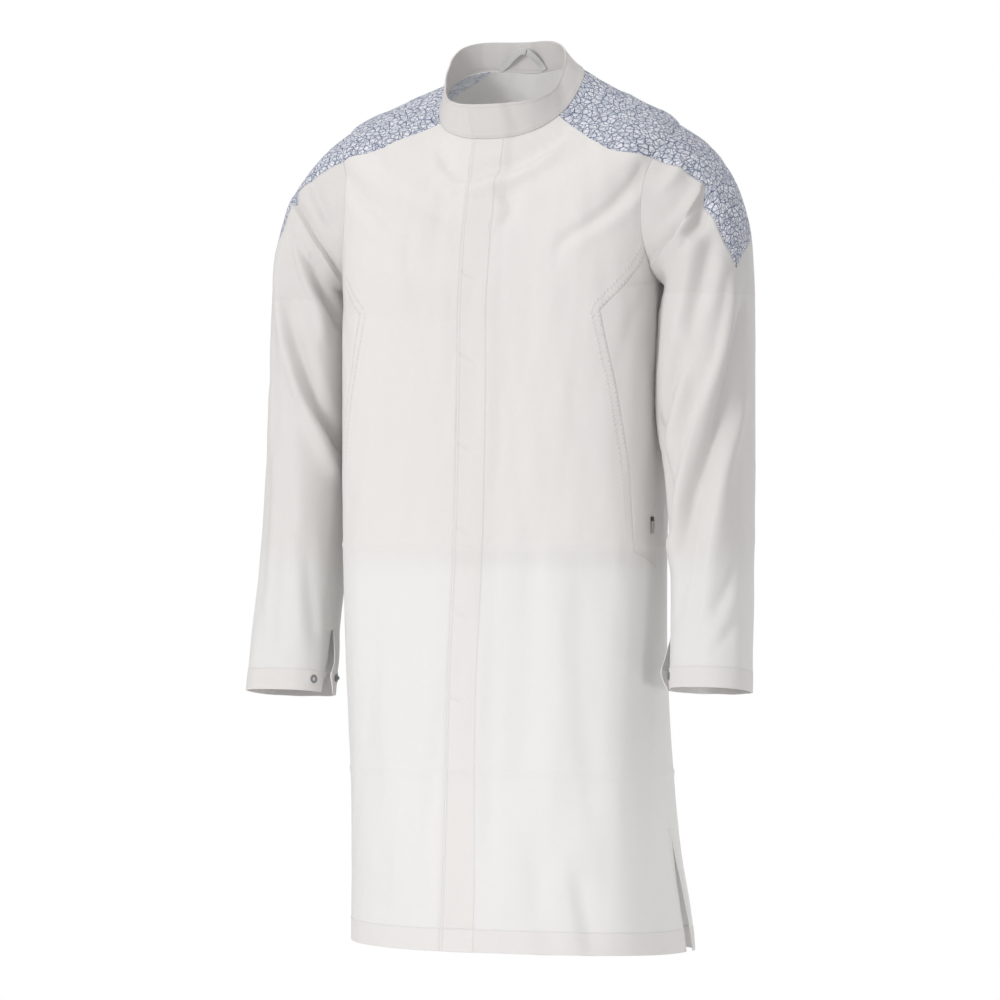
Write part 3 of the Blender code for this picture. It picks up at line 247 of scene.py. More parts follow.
RIGHT_FOLDS = (
    # cap, above the folded edge
    (-2.8, 7, 0.3, (56, 0.040), (34, 0.038), (12.7, 0.031), (-4, 0.016)),
    (2.0, 8, 0.0, (40, 0.018), (22, 0.014), (6, 0.008)),
    # under it
    (-3.4, 7, 0.3, (24, 0.088), (8, 0.096), (-10, 0.098)),
    (3.4, 8, 0.3, (30, 0.080), (6, 0.110), (-19.9, 0.155), (-32.4, 0.214), (-38, 0.262)),
    (-5.4, 9, 0.3, (-10, 0.092), (-27, 0.120), (-42.9, 0.169), (-61.4, 0.225)),
    (3.0, 10, 0.0, (44, 0.110), (30, 0.190), (12, 0.290), (-6, 0.380)),
    (-7.0, 10, 0.35, (18, 0.215), (8, 0.262), (-14.4, 0.332), (-38.4, 0.420), (-70, 0.490)),
    (5.2, 10, 0.0, (0, 0.320), (-25.9, 0.425), (-42.4, 0.487), (-61.9, 0.545)),
    (3.0, 13, 0.0, (-4, 0.45), (-16.9, 0.637), (-34, 0.90)),
    (-2.6, 14, 0.0, (44, 0.50), (42, 0.68), (40, 0.84)),
    (-1.6, 10, 0.0, (38, 0.26), (32, 0.38), (30, 0.50)),
    (-2.0, 11, 0.0, (-24, 0.66), (-34, 0.76), (-48, 0.88)),
    (1.6, 10, 0.0, (22, 0.62), (16, 0.76), (12, 0.90)),
    (-3.6, 15, 0.0, (64, 0.352), (90, 0.362), (120, 0.366)),
    # back of the arm
    (-5.0, 12, 0.0, (156, 0.12), (181, 0.17), (206, 0.24)),
    (-6.0, 13, 0.2, (146, 0.34), (172, 0.41), (200, 0.50)),
    (-5.0, 13, 0.0, (138, 0.64), (154, 0.71), (172, 0.80)),
    (4.6, 12, 0.0, (180, 0.26), (206, 0.34), (236, 0.44)),
    (-3.0, 11, 0.0, (176, 0.60), (198, 0.67), (222, 0.76)),
)
# Edge along which the lower sleeve folds over its cap: places on each sleeve.
CAP_FOLD = {
    1: ((60, 0.051), (54, 0.058), (42, 0.062), (32.2, 0.064), (14, 0.067), (1.1, 0.067),
        (-18, 0.056), (-33, 0.036), (-44, 0.012)),
    -1: ((76, 0.072), (54, 0.068), (34.2, 0.064), (7.1, 0.059), (-16.9, 0.048), (-38.9, 0.031),
         (-54, 0.014), (-62, 0.004)),
}
CAP_RISE, CAP_LOWER = 0.0046, 0.020    # of the fold's lower flank: how high and how far
CAP_DIP, CAP_UPPER = {1: 0.0048, -1: 0.0052}, 0.009      # and of its upper flank
CAP_EDGE = 0.0016                      # half the width of the step between them
CAP_OVER = {1: 0.34, -1: 0.0}          # over this share of its run the cap lies on top
CAP_TOP, CAP_TUCK = (0.0022, 0.012), (-0.0036, 0.007)    # height and reach of the flanks there
CAP_BUILD, CAP_EASE = 0.34, 0.65       # share over which it builds up, and by which it eases off
CAP_BEFORE, CAP_SHORT = 0.06, 0.10     # it starts this share early, and the cap ends this much short
CAP_LATE, CAP_START = 0.2, 0.05        # last share, where it eases, and first, where it sets in
CAP_REACH, CAP_OUT = 0.045, 0.020      # it ends this far away, and runs out over this much
SLEEVE_GAIN = 2.0                      # folds of the sleeves, against their tables
SLEEVE_SEAT = 0.03                     # way along over which a sleeve keeps the body's relief
CUFF_CALM, CUFF_FOLDED = 0.90, 0.25    # way from which folds fade, and what is left of them
CUFF_FADE = 0.06                       # way over which they fade
CUFF_WAVE, CUFF_WAVES = 0.0016, 7.0    # height and number of the waves behind the cuff
CUFF_SHIFT = 40                        # degrees by which the waves are shifted on each side
CUFF_FROM, CUFF_TO = (110, 40), (215, 30)     # turn and spread where the waves set in, and end
CUFF_WAVED = (0.93, 0.07)              # way along from which they rise, and over which
PRESS_LINES = (0.600, 0.832)           # ways of the creases left by pressing
PRESS_RISE, PRESS_WIDE = 0.0014, 0.0036
BODY_RUN = 1.16                        # metres of cloth from neck to hem
# Short slanting creases where the hidden buttoned strip is tacked to the left front.
TACKS = (((-9.1, 0.268), (1.4, 0.286)), ((-8.6, 0.390), (2.4, 0.402)), ((-8.1, 0.491), (2.6, 0.501)),
         ((-9.6, 0.579), (0.9, 0.590)), ((-10.1, 0.667), (0.1, 0.677)), ((-10.4, 0.755), (-1.6, 0.764)))

# Rolling of the whole cloth: waves a metre sideways and down, height mm; how the waves lean
# with the depth, slow down towards the hem, start apart and sway.
ROLL_LEAN, ROLL_DOWN, ROLL_APART, ROLL_SWAY, ROLL_SLOW = 0.7, 0.45, 1.7, 0.8, 0.37
ROLLS = (
    (9.0, 3.0, 0.45), (14.0, -4.0, 0.35), (21.0, 6.0, 0.24), (-17.0, 9.0, 0.20),
    (31.0, -8.0, 0.14), (-26.0, 15.0, 0.12), (12.0, 22.0, 0.12), (43.0, 11.0, 0.08),
    (-39.0, -21.0, 0.07), (24.0, 38.0, 0.06), (58.0, -17.0, 0.05), (-52.0, 33.0, 0.04),
)

# ---------------------------------------------------------------- reading the tables


def curved(t, start, leave, end, enter):
    """Curve from start to end, t from 0 to 1, with its directions at both."""
    return ((2 * t**3 - 3 * t**2 + 1) * start + (t**3 - 2 * t**2 + t) * leave
            + (3 * t**2 - 2 * t**3) * end + (t**3 - t**2) * enter)


def along(table, way):
    """Columns of a table at the given ways, on a smooth curve through its rows."""
    x, y = table[:, 0], table[:, 1:]
    gap = np.diff(x)
    slope = np.diff(y, axis=0) / gap[:, None]
    tangent = np.zeros_like(y)
    tangent[0], tangent[-1] = slope[0], slope[-1]
    tangent[1:-1] = ((slope[:-1] * gap[1:, None] + slope[1:] * gap[:-1, None])
                     / (gap[1:] + gap[:-1])[:, None])
    way = np.clip(np.asarray(way, float), x[0], x[-1])
    i = np.clip(np.searchsorted(x, way, side="right") - 1, 0, len(x) - 2)
    h = gap[i][..., None]
    t = ((way - x[i]) / gap[i])[..., None]
    return curved(t, y[i], h * tangent[i], y[i + 1], h * tangent[i + 1])


def path(table, way, *corners):
    """Reading of a two-column table, smooth between its corners."""
    way = np.asarray(way, float)
    out = np.interp(way, table[:, 0], table[:, 1])
    ends = [table[0, 0], *corners, table[-1, 0]]
    for low, high in zip(ends, ends[1:]):
        part = table[(table[:, 0] >= low) & (table[:, 0] <= high)]
        if len(part) > 2:
            out = np.where((way >= low) & (way <= high), along(part, way)[..., 0], out)
    return out


def smooth(x):
    """Soft step from 0 to 1."""
    x = np.clip(x, 0, 1)
    return x * x * (3 - 2 * x)


def steps(*spans):
    """Values over spans of (start, end, count), evenly spread in each span."""
    return np.concatenate([np.linspace(a, b, n + 1)[:-1] for a, b, n in spans] + [[spans[-1][1]]])


def unit(vectors):
    return vectors / np.maximum(np.linalg.norm(vectors, axis=-1, keepdims=True), 1e-12)


def lengths(points):
    """Length run along a line, at each of its points."""
    return np.concatenate([[0], np.cumsum(np.linalg.norm(np.diff(points, axis=0), axis=1))])


def read_at(run, rows, spot):
    """Vectors of a line at lengths along it."""
    return np.stack([np.interp(spot, run, rows[:, c]) for c in range(3)], -1)


def crossing(points, normals):
    """Directions across a line on the cloth, to the left of its run seen from outside."""
    return unit(np.cross(normals, np.gradient(points, axis=0)))


# ---------------------------------------------------------------- forms


def ring(turn, a, front, back, left, right, low, high, square, cx, cy):
    s, c = np.sin(np.radians(turn)), np.cos(np.radians(turn))
    reach = np.abs(s / a) ** square + np.abs(c / np.where(c > 0, front, back)) ** square
    reach = reach ** (-1 / square)
    side = (left + right) / 2 + (left - right) / 2 * s
    mid = (low + high) / 2
    z = mid + (low - high) / 2 * (1.5 * c - 0.5 * c**3) + (side - mid) * (1 - c * c)
    return np.stack([cx + reach * s, cy - reach * c, z], -1)


def body(turn, way):
    turn, way = np.broadcast_arrays(np.asarray(turn, float), np.asarray(way, float))
    return ring(turn, *np.moveaxis(along(BODY, way), -1, 0))


def collar(turn, up):
    turn, up = np.broadcast_arrays(np.asarray(turn, float), np.asarray(up, float))
    base = body(turn, np.zeros_like(up))
    rim = ring(turn, *RIM)
    fuller = 1 + RIM_SKEW * np.sin(2 * np.radians(turn))
    rim[..., :2] = RIM[-2:] + (rim[..., :2] - RIM[-2:]) * fuller[..., None]
    return base + (rim - base) * up[..., None]


def armhole(turn):
    """Where the armhole lies on the body, turn in degrees round the arm."""
    s, c = np.sin(np.radians(turn)), np.cos(np.radians(turn))
    way = (ARMHOLE_TOP + ARMHOLE_LOW) / 2 - (ARMHOLE_LOW - ARMHOLE_TOP) / 2 * s
    reach = np.where(c > 0, *ARMHOLE_REACH)
    return ARMHOLE_SIDE - reach * np.sign(c) * np.abs(c) ** np.where(s > 0, 0.6, 0.8), way


def armhole_turn(way, front):
    """Angle round the arm at which the armhole passes a way down the body."""
    s = (ARMHOLE_TOP + ARMHOLE_LOW - 2 * np.asarray(way)) / (ARMHOLE_LOW - ARMHOLE_TOP)
    turn = np.degrees(np.arcsin(np.clip(s, -1, 1)))
    return turn if front > 0 else 180 - turn


def armhole_at(way, front):
    return armhole(armhole_turn(way, front))[0]


def arm(turn, way, side):
    table = LEFT_ARM if side > 0 else RIGHT_ARM
    z, x, y, wide, deep, lean, pitch = np.moveaxis(along(table, way), -1, 0)
    s, c = np.sin(np.radians(turn)), np.cos(np.radians(turn))
    reach = (np.abs(s) ** ARM_SQUARE + np.abs(c) ** ARM_SQUARE) ** (-1 / ARM_SQUARE)
    s, c = s * reach * wide, c * reach * deep
    lean, pitch = np.radians(lean), np.radians(pitch)
    return np.stack([x + s * np.cos(lean), y - c * np.cos(pitch),
                     z + s * np.sin(lean) + c * np.sin(pitch)], -1)


def sleeve(turn, way, side):
    turn, way = np.broadcast_arrays(np.asarray(turn, float), np.asarray(way, float))
    flip = np.array([side, 1, 1])
    round_body, down = armhole(turn)
    start = body(round_body * side, down) * flip
    low, high = SHOULDER_PULL
    pull = (low + (high - low) * (1 + np.sin(np.radians(turn))) / 2)[..., None]
    leave = np.array([math.cos(SHOULDER_DROP), 0, math.sin(SHOULDER_DROP)]) * pull
    end = arm(turn, np.full_like(way, ARM_BEND), side)
    beyond = arm(turn, np.full_like(way, ARM_BEND + ARM_STEP), side)
    enter = (beyond - end) / ARM_STEP * ARM_BEND
    t = np.clip(way / ARM_BEND, 0, 1)[..., None]
    bend = curved(t, start, leave, end, enter)
    lower = arm(turn, np.maximum(way, ARM_BEND), side)
    return np.where((way < ARM_BEND)[..., None], bend, lower) * flip


WAY_CLEAR = 0.0007                     # normals are taken this far inside the ends of a form


def facing(form, turn, way, sign):
    """Unit normals of a form; sign makes them point outward."""
    d_turn, d_way = 0.2, 0.0006
    across = form(turn + d_turn, way) - form(turn - d_turn, way)
    down = form(turn, way + d_way) - form(turn, way - d_way)
    return unit(np.cross(down, across) * sign)


def body_facing(turn, way):
    return facing(body, turn, np.clip(way, WAY_CLEAR, 1 - WAY_CLEAR), 1)


def collar_facing(turn, up):
    return facing(collar, turn, up, -1)


def sleeve_facing(turn, way, side):
    def form(t, w):
        return sleeve(t, w, side)
    return facing(form, turn, np.clip(way, WAY_CLEAR, 1 - WAY_CLEAR), side)


def halfway(one, two):
    """Direction of a mitre between two walls that meet at a seam."""
    total = unit(one + two)
    return total / np.maximum(np.sum(total * one, -1, keepdims=True), 0.7)


def armhole_facing(turn, side):
    round_body, down = armhole(turn)
    return halfway(body_facing(round_body * side, down),
                   sleeve_facing(turn, np.zeros_like(turn), side))


def neck_facing(turn):
    return halfway(body_facing(turn, np.zeros_like(turn)),
                   collar_facing(turn, np.full_like(turn, 0.01)))


# ---------------------------------------------------------------- relief of the cloth


def nearest(points, curve, reach=0.05):
    """Distance to a curve, run along it and side of it, for the points within reach."""
    flat = points.reshape(-1, 3)
    start, span, run = curve[:-1], np.diff(curve, axis=0), lengths(curve)
    length = np.diff(run)
    away, place = np.full(len(flat), 9.0), np.zeros(len(flat))
    offset = np.zeros((len(flat), 3))
    close = np.all((flat > curve.min(0) - reach) & (flat < curve.max(0) + reach), axis=1)
    found = np.flatnonzero(close)
    for part in np.array_split(found, 1 + len(found) // 3000):
        gap = flat[part][:, None] - start
        t = np.clip(np.sum(gap * span, -1) / length**2, 0, 1)
        rest = gap - t[..., None] * span
        far = np.linalg.norm(rest, axis=-1)
        k = np.argmin(far, axis=1)
        i = np.arange(len(part))
        away[part], place[part] = far[i, k], run[k] + t[i, k] * length[k]
        offset[part] = np.cross(span[k] / length[k, None], rest[i, k])
    shape = points.shape[:-1]
    return away.reshape(shape), place.reshape(shape), offset.reshape(points.shape)


def bent(places, count=8):
    """A smooth run of places through the given ones."""
    places = np.array(places, float)
    share = np.linspace(0, 1, len(places))
    table = np.concatenate([share[:, None], places], axis=1)
    return along(table, np.linspace(0, 1, (len(places) - 1) * count + 1))


FOLD_ENDS = 0.35                       # share of a fold's height left at its ends


def folds(points, normals, table, form):
    """Height of the folds of a table at each point."""
    total = np.zeros(points.shape[:-1])
    for height, width, lean, *places in table:
        route = bent(places, 3)
        curve = form(route[:, 0], route[:, 1])
        away, run, offset = nearest(points, curve)
        side = np.sign(np.sum(offset * normals, -1))
        spread = width / 1000 * (1 + lean * side)
        middle = np.sin(np.pi * np.clip(run / lengths(curve)[-1], 0, 1)) ** 0.5
        fade = FOLD_ENDS + (1 - FOLD_ENDS) * middle
        total += height / 1000 * np.exp(-(away / spread) ** 2) * fade
    return total


def rolls(points):
    """Slow, uneven rolling of the cloth."""
    total = np.zeros(points.shape[:-1])
    x, y, z = np.moveaxis(points, -1, 0)
    for k, (across, down, height) in enumerate(ROLLS):
        place_on = across * (x + ROLL_LEAN * y * (-1) ** k) + ROLL_DOWN * down * z
        wave = 2 * np.pi * place_on + ROLL_APART * k
        total += height / 1000 * np.sin(wave + ROLL_SWAY * np.sin(ROLL_SLOW * wave + k))
    return total


def lap(turn, way):
    """How far the left front and the left end of the collar stand off, over the right."""
    return OVERLAP * (1 - smooth((turn - path(LAP_STITCH, way)) / LAP_RUN))


def cap_fold(points, normals, side):
    """Step where the lower sleeve folds over its cap."""
    route = bent(CAP_FOLD[side], 4)
    curve = sleeve(route[:, 0], route[:, 1], side)
    away, run, offset = nearest(points, curve)
    share = np.clip(run / lengths(curve)[-1], 0, 1)
    signed = away * np.sign(np.sum(offset * normals, -1)) * side

    def flank(height, reach):
        return height * np.exp(-(signed / reach) ** 2)
    over, edge = CAP_OVER[side], smooth((signed + CAP_EDGE) / (2 * CAP_EDGE))
    eased = 1 - CAP_EASE * smooth((share - (1 - CAP_LATE)) / CAP_LATE)
    built = smooth((share - over + CAP_BEFORE) / CAP_BUILD) * eased
    total = (flank(CAP_RISE, CAP_LOWER) * edge + flank(-CAP_DIP[side], CAP_UPPER) * (1 - edge)) * built
    if over:
        lying = smooth(share / CAP_START) * (1 - smooth((share - over + CAP_SHORT) / CAP_BUILD))
        total = total + (flank(*CAP_TOP) * (1 - edge) + flank(*CAP_TUCK) * edge) * lying
    return np.where(away < CAP_REACH, total * (1 - smooth((away - CAP_REACH + CAP_OUT) / CAP_OUT)), 0)


def setting_in(value, start, spread):
    """Soft step from 0 at start to 1 a spread further on."""
    return smooth((value - start) / spread)


def body_relief(points, normals, ways):
    """Folds, rolls and pressed lines of the body."""
    lift = folds(points, normals, BODY_FOLDS, body) + rolls(points)
    for way in PRESS_LINES:
        lift = lift + PRESS_RISE * np.exp(-((ways - way) * BODY_RUN / PRESS_WIDE) ** 2)
    return lift


def sleeve_relief(points, normals, turns, ways, side):
    """Folds of a sleeve; at its seam it keeps the relief of the body that it is sewn to."""
    def form(t, w):
        return sleeve(t, w, side)
    table = LEFT_FOLDS if side > 0 else RIGHT_FOLDS
    free = smooth(ways / SLEEVE_SEAT)
    fade = SLEEVE_GAIN * free * (1 - (1 - CUFF_FOLDED) * smooth((ways - CUFF_CALM) / CUFF_FADE))
    own = folds(points, normals, table, form) * fade + cap_fold(points, normals, side)
    behind = setting_in(turns, *CUFF_FROM) * (1 - setting_in(turns, *CUFF_TO))
    waves = np.sin(np.radians(turns * CUFF_WAVES + CUFF_SHIFT * side))
    waves = waves * setting_in(ways, *CUFF_WAVED)
    own = own + rolls(points) * free + CUFF_WAVE * waves * behind
    round_body, down = armhole(turns)
    near = ways < SLEEVE_SEAT
    seat = np.zeros(points.shape[:-1])
    if near.any():
        start = body(round_body[near] * side, down[near])
        outward = body_facing(round_body[near] * side, down[near])
        seat[near] = folds(start, outward, BODY_FOLDS, body) + rolls(start)
    return own + seat * (1 - free)


EDGE_ROLL = 0.0011                     # how far the cloth rolls in beside a seam
RIDGE_RISE, RIDGE_FALL = 0.0004, 0.0025     # height of a turned allowance and how it runs out


def seam_relief(distance, ridge, dip):
    """Rolled-in edge and raised allowance beside a seam."""
    lift = -dip * np.exp(-(distance / EDGE_ROLL) ** 2)
    if ridge:
        lift = lift + RIDGE_RISE * (1 - smooth((distance - ridge) / RIDGE_FALL))
    return lift


# ---------------------------------------------------------------- seam lines in space


def body_line(turns, ways):
    return body(turns, ways), body_facing(turns, ways)


def sleeve_line(turns, ways, side):
    return sleeve(turns, ways, side), sleeve_facing(turns, ways, side)


def seam_lines():
    """Every seam and edge as (points, outward directions), named with its side."""
    lines = {}
    down = np.linspace(0, 1, 260)
    lines["lap_edge"] = body_line(path(LAP_EDGE, down), down)
    lines["lap_shadow"] = lines["lap_edge"]
    lines["lap_stitch"] = body_line(path(LAP_STITCH, down), down)
    lines["neck"] = body_line(np.linspace(-180, 180, 240), np.zeros(240))
    lines["hem_stitch"] = body_line(np.linspace(-180, 180, 300), np.full(300, HEM))
    for word, side in SIDES:
        top = np.linspace(0, YOKE_END, 60)
        lines["yoke_front_" + word] = body_line(side * path(YOKE_FRONT, top), top)
        lines["yoke_back_" + word] = body_line(side * path(YOKE_BACK, top), top)
        turn = np.linspace(-270, 90, 200)
        lines["armhole_" + word] = body_line(side * armhole(turn)[0], armhole(turn)[1])
        inset = np.sort(np.append(np.linspace(INSET_TOP, INSET_END, 150), (INSET_CORNER, INSET_FOOT)))
        lines["panel_" + word] = body_line(side * panel_at(inset), inset)
        low = np.linspace(ARMHOLE_LOW, VENT_TOP, 160)
        lines["side_" + word] = body_line(side * path(SIDE_SEAM, low), low)
        vent = np.linspace(VENT_TOP, 1, 50)
        lines["vent_front_" + word] = body_line(side * path(VENT_FRONT, vent), vent)
        lines["vent_back_" + word] = body_line(side * path(VENT_BACK, vent), vent)
        wedge = np.sort(np.append(np.linspace(0, WEDGE_END, 70), WEDGE_CORNER))
        lines["wedge_front_" + word] = sleeve_line(path(WEDGE_FRONT, wedge, WEDGE_CORNER), wedge, side)
        lines["wedge_back_" + word] = sleeve_line(path(WEDGE_BACK, wedge, WEDGE_TURN), wedge, side)
        arm_turn = np.linspace(-85, 265, 200)
        lines["cuff_stitch_" + word] = sleeve_line(arm_turn, np.full(200, CUFF), side)
    return lines


def panel_at(way):
    return path(PANEL_SEAM, way, INSET_CORNER, INSET_FOOT)


# ---------------------------------------------------------------- one piece of cloth


# Marks kept at each point of the cloth, and their value far from any seam: how double it is,
# metres to the nearest seam, to the nearest row of stitches, along the puckered seam, and how
# strongly it is puckered.
MARKS = (("double", 0.0), ("seam", 0.02), ("stitch", 0.02), ("run", 0.0), ("pucker", 0.0))
LIP = 0.02                         # share of the wall by which a cut edge is rounded
TREES = {}                         # outer surface of each piece, for the sewing to lie on


class Cloth:
    """A piece of cloth: its outer surface, its faces, its walls and its marks."""

    def __init__(self):
        self.points, self.normals, self.walls, self.marks = [], [], [], []
        self.faces, self.corners = [], []

    def add(self, points, normals, wall, marks):
        """Adds a grid of outer points with its marks and returns their numbers."""
        first = sum(len(p) for p in self.points)
        shape = points.shape[:-1]
        self.points.append(points.reshape(-1, 3))
        self.normals.append(normals.reshape(-1, 3))
        self.walls.append(np.broadcast_to(wall, shape).ravel())
        self.marks.append(np.stack([np.broadcast_to(marks.get(mark, far), shape).ravel()
                                    for mark, far in MARKS], -1))
        return np.arange(first, first + int(np.prod(shape))).reshape(shape)

    def weave(self, ids, measure, flip=False):
        """Faces of a grid of numbers: rows run down, columns run to the wearer's left."""
        quads = np.stack([ids[:-1, :-1], ids[1:, :-1], ids[1:, 1:], ids[:-1, 1:]], -1).reshape(-1, 4)
        corners = np.stack([measure[:-1, :-1], measure[1:, :-1], measure[1:, 1:],
                            measure[:-1, 1:]], -2).reshape(-1, 4, 2)
        if flip:
            quads, corners = quads[:, ::-1], corners[:, ::-1]
        for quad, corner in zip(quads.tolist(), corners.tolist()):
            keep = [k for k in range(4) if quad[k] != quad[k - 1]]
            if len(keep) > 2:
                self.faces.append([quad[k] for k in keep])
                self.corners.append([corner[k] for k in keep])

    def rim(self):
        """Free edges of the faces, each with the number of its face."""
        edges = {}
        for number, face in enumerate(self.faces):
            for a, b in zip(face, face[1:] + face[:1]):
                edges[(a, b)] = number
        return {(a, b): number for (a, b), number in edges.items() if (b, a) not in edges}

    def build(self, name, outside, inside, slot):
        """Mesh with an even wall and rounded edges, drawn in by half a seam."""
        points, outward = np.concatenate(self.points), np.concatenate(self.normals)
        walls, marks = np.concatenate(self.walls), np.concatenate(self.marks)
        normals, rim = face_normals(points, self.faces, outward), self.rim()
        on_rim, middle = drawn_in(points, normals, walls, rim)
        verts = np.concatenate([points, points - normals * walls[:, None], middle])
        count = len(points)
        lip = {v: 2 * count + k for k, v in enumerate(on_rim)}
        faces, corners, parts = list(self.faces), list(self.corners), [0] * len(self.faces)
        for face, corner in zip(self.faces, self.corners):
            faces.append([v + count for v in reversed(face)])
            corners.append(list(reversed(corner)))
            parts.append(1)
        for (a, b), number in rim.items():
            spot = dict(zip(self.faces[number], self.corners[number]))
            faces += [[b, a, lip[a], lip[b]], [lip[b], lip[a], a + count, b + count]]
            corners += [[spot[b], spot[a], spot[a], spot[b]]] * 2
            parts += [0, 1]
        mesh = bpy.data.meshes.new(name)
        mesh.from_pydata(verts.tolist(), [], faces)
        layer = mesh.uv_layers.new(name="cloth")
        spots = np.array([c for face in corners for c in face], np.float32)
        layer.uv.foreach_set("vector", spots.ravel())
        marks = np.concatenate([marks, marks, marks[on_rim]]).astype(np.float32)
        for k, (mark, _) in enumerate(MARKS):
            kept = mesh.attributes.new(mark, "FLOAT", "POINT")
            kept.data.foreach_set("value", marks[:, k].copy())
        mesh.materials.append(outside)
        mesh.materials.append(inside)
        mesh.polygons.foreach_set("material_index", np.array(parts, np.int32))
        mesh.shade_smooth()
        mesh.update()
        TREES[name] = BVHTree.FromPolygons(points.tolist(), self.faces)
        return place(name, mesh, slot)


def grid_cloth(name, form, outer, outward, wall, marks, paints, slot, pointed=False, flip=False):
    """A piece woven in one grid, measured along its plain form; pointed closes its end rows."""
    cloth = Cloth()
    ids = cloth.add(outer, outward, wall, marks)
    if pointed:
        ids[0], ids[-1] = ids[0, 0], ids[-1, 0]
    cloth.weave(ids, measured(form, form.shape[1] // 2), flip)
    return cloth.build(name, *paints, slot)


def drawn_in(points, normals, walls, rim):
    """Draws the free edges in; returns their points and the middle of the wall at each."""
    inward = np.zeros_like(points)
    for a, b in rim:
        way = np.cross(normals[a] + normals[b], points[b] - points[a])
        way = way / max(np.linalg.norm(way), 1e-9)
        inward[a] += way
        inward[b] += way
    on_rim = sorted({v for edge in rim for v in edge})
    drawn = unit(inward[on_rim]) * (SEAM / 2 + LIP * walls[on_rim])[:, None]
    points[on_rim] += drawn
    middle = points[on_rim] - normals[on_rim] * walls[on_rim, None] / 2
    return on_rim, middle - unit(drawn) * LIP * walls[on_rim, None]


def face_normals(points, faces, outward):
    """Unit normals at the points, from the faces round each."""
    total = np.zeros_like(points)
    for size in (3, 4):
        chosen = np.array([f for f in faces if len(f) == size])
        if len(chosen):
            p = points[chosen]
            normal = np.cross(p[:, 2] - p[:, 0], p[:, -1] - p[:, 1])
            for k in range(size):
                np.add.at(total, chosen[:, k], normal)
    total = unit(total)
    return total * np.where(np.sum(total * outward, -1, keepdims=True) < 0, -1, 1)


def place(name, mesh, slot):
    """Adds a piece to the scene, riding on the coat's body; the slot is not used."""
    obj = bpy.data.objects.new(name, mesh)
    bpy.context.scene.collection.objects.link(obj)
    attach(obj, BODY_PART)
    return obj


def measured(points, anchor=0):
    """Cloth measures of a grid: metres across from the anchor column, metres down."""
    down = np.zeros(points.shape[0])
    down[1:] = np.cumsum(np.linalg.norm(np.diff(points, axis=0), axis=-1).mean(axis=1))
    across = np.zeros(points.shape[:2])
    across[:, 1:] = np.cumsum(np.linalg.norm(np.diff(points, axis=1), axis=-1), axis=1)
    across = across - across[:, anchor][:, None]
    return np.stack([across, np.broadcast_to(-down[:, None], across.shape)], -1)


# ---------------------------------------------------------------- thread


LOOK_FROM, LOOK_DEEP = 0.02, 0.04  # the cloth is looked for from this far off, this deep
STITCH_PLACES = np.array([0.08, 0.30, 0.66, 0.88])      # of a stitch, in shares of the pitch
STITCH_SIZES, STITCH_RISES = (0.45, 1.0, 1.0, 0.45), (-0.5, 0.42, 0.42, -0.5)
TACK_PLACES = (-0.5, -0.25, 0.25, 0.5)
TACK_REACH, TACK_PITCH, TACK_THREAD = 0.0022, 0.0007, 0.0004


class Thread:
    """Stitches laid on pieces of cloth, joined into one mesh."""

    def __init__(self):
        self.verts, self.faces = [], []

    def row(self, line, tree, offset=0.0, start=0.0, end=1.0, pitch=None, wide=None):
        """A row of stitches beside a line; offset is to the left of its run, seen from outside."""
        sewing = bpy.context.scene.coat_sewing
        pitch = pitch or sewing.pitch
        points, normals = line
        points = points + crossing(points, normals) * offset
        run = lengths(points)
        low, high = run[-1] * start, run[-1] * end
        for k in range(int((high - low) / pitch)):
            spots, outs = [], []
            for spot in low + pitch * (k + STITCH_PLACES):
                p = Vector(read_at(run, points, spot))
                n = Vector(read_at(run, normals, spot)).normalized()
                hit, normal, _, _ = tree.ray_cast(p + n * LOOK_FROM, -n, LOOK_DEEP)
                if hit is not None:
                    spots.append(hit)
                    outs.append(normal if normal.dot(n) > 0 else -normal)
            self.stitch(spots, outs, wide or sewing.thread)

    def bars(self, line, tree):
        """A bar tack: short stitches laid across a line."""
        points, normals = line
        run, across = lengths(points), crossing(points, normals)
        for spot in np.arange(0, run[-1], TACK_PITCH):
            p, n, side = (Vector(read_at(run, rows, spot)) for rows in (points, normals, across))
            spots = []
            for shift in TACK_PLACES:
                start = p + side * TACK_REACH * shift + n * LOOK_FROM
                hit, _, _, _ = tree.ray_cast(start, -n, LOOK_DEEP)
                if hit is not None:
                    spots.append(hit)
            self.stitch(spots, [n] * len(spots), TACK_THREAD)

    def stitch(self, spots, outs, wide):
        """One stitch, where all its places lie on the cloth: a flat bead with sunk ends."""
        if len(spots) < 4:
            return
        run = (spots[3] - spots[0]).normalized()
        first = len(self.verts)
        for spot, out, size, rise in zip(spots, outs, STITCH_SIZES, STITCH_RISES):
            side = run.cross(out).normalized()
            centre = spot + out * wide * rise
            for x, y in ((1, 0), (0, 0.8), (-1, 0), (0, -0.8)):
                self.verts.append(centre + (side * x + out * y) * wide / 2 * size)
        for ring_at in range(first, first + 12, 4):
            for k in range(4):
                a, b = ring_at + k, ring_at + (k + 1) % 4
                self.faces.append([a, a + 4, b + 4, b])
        self.faces.append([first + k for k in range(4)])
        self.faces.append([first + 12 + k for k in (3, 2, 1, 0)])

    def build(self, name, material):
        mesh = bpy.data.meshes.new(name)
        mesh.from_pydata([tuple(v) for v in self.verts], [], self.faces)
        mesh.materials.append(material)
        mesh.shade_smooth()
        mesh.update()
        return place(name, mesh, "white_tape")


# ---------------------------------------------------------------- grids of the pieces

PUCKER_END, PUCKER_EASE = 0.48, 0.09     # the shaped seam's puckers lie down from this way on
HEM_RISE = 0.00035                 # doubled cloth stands this much prouder
HEM_STEP, CUFF_STEP = 0.0012, 0.0015     # ways over which it starts at the hem and the cuffs
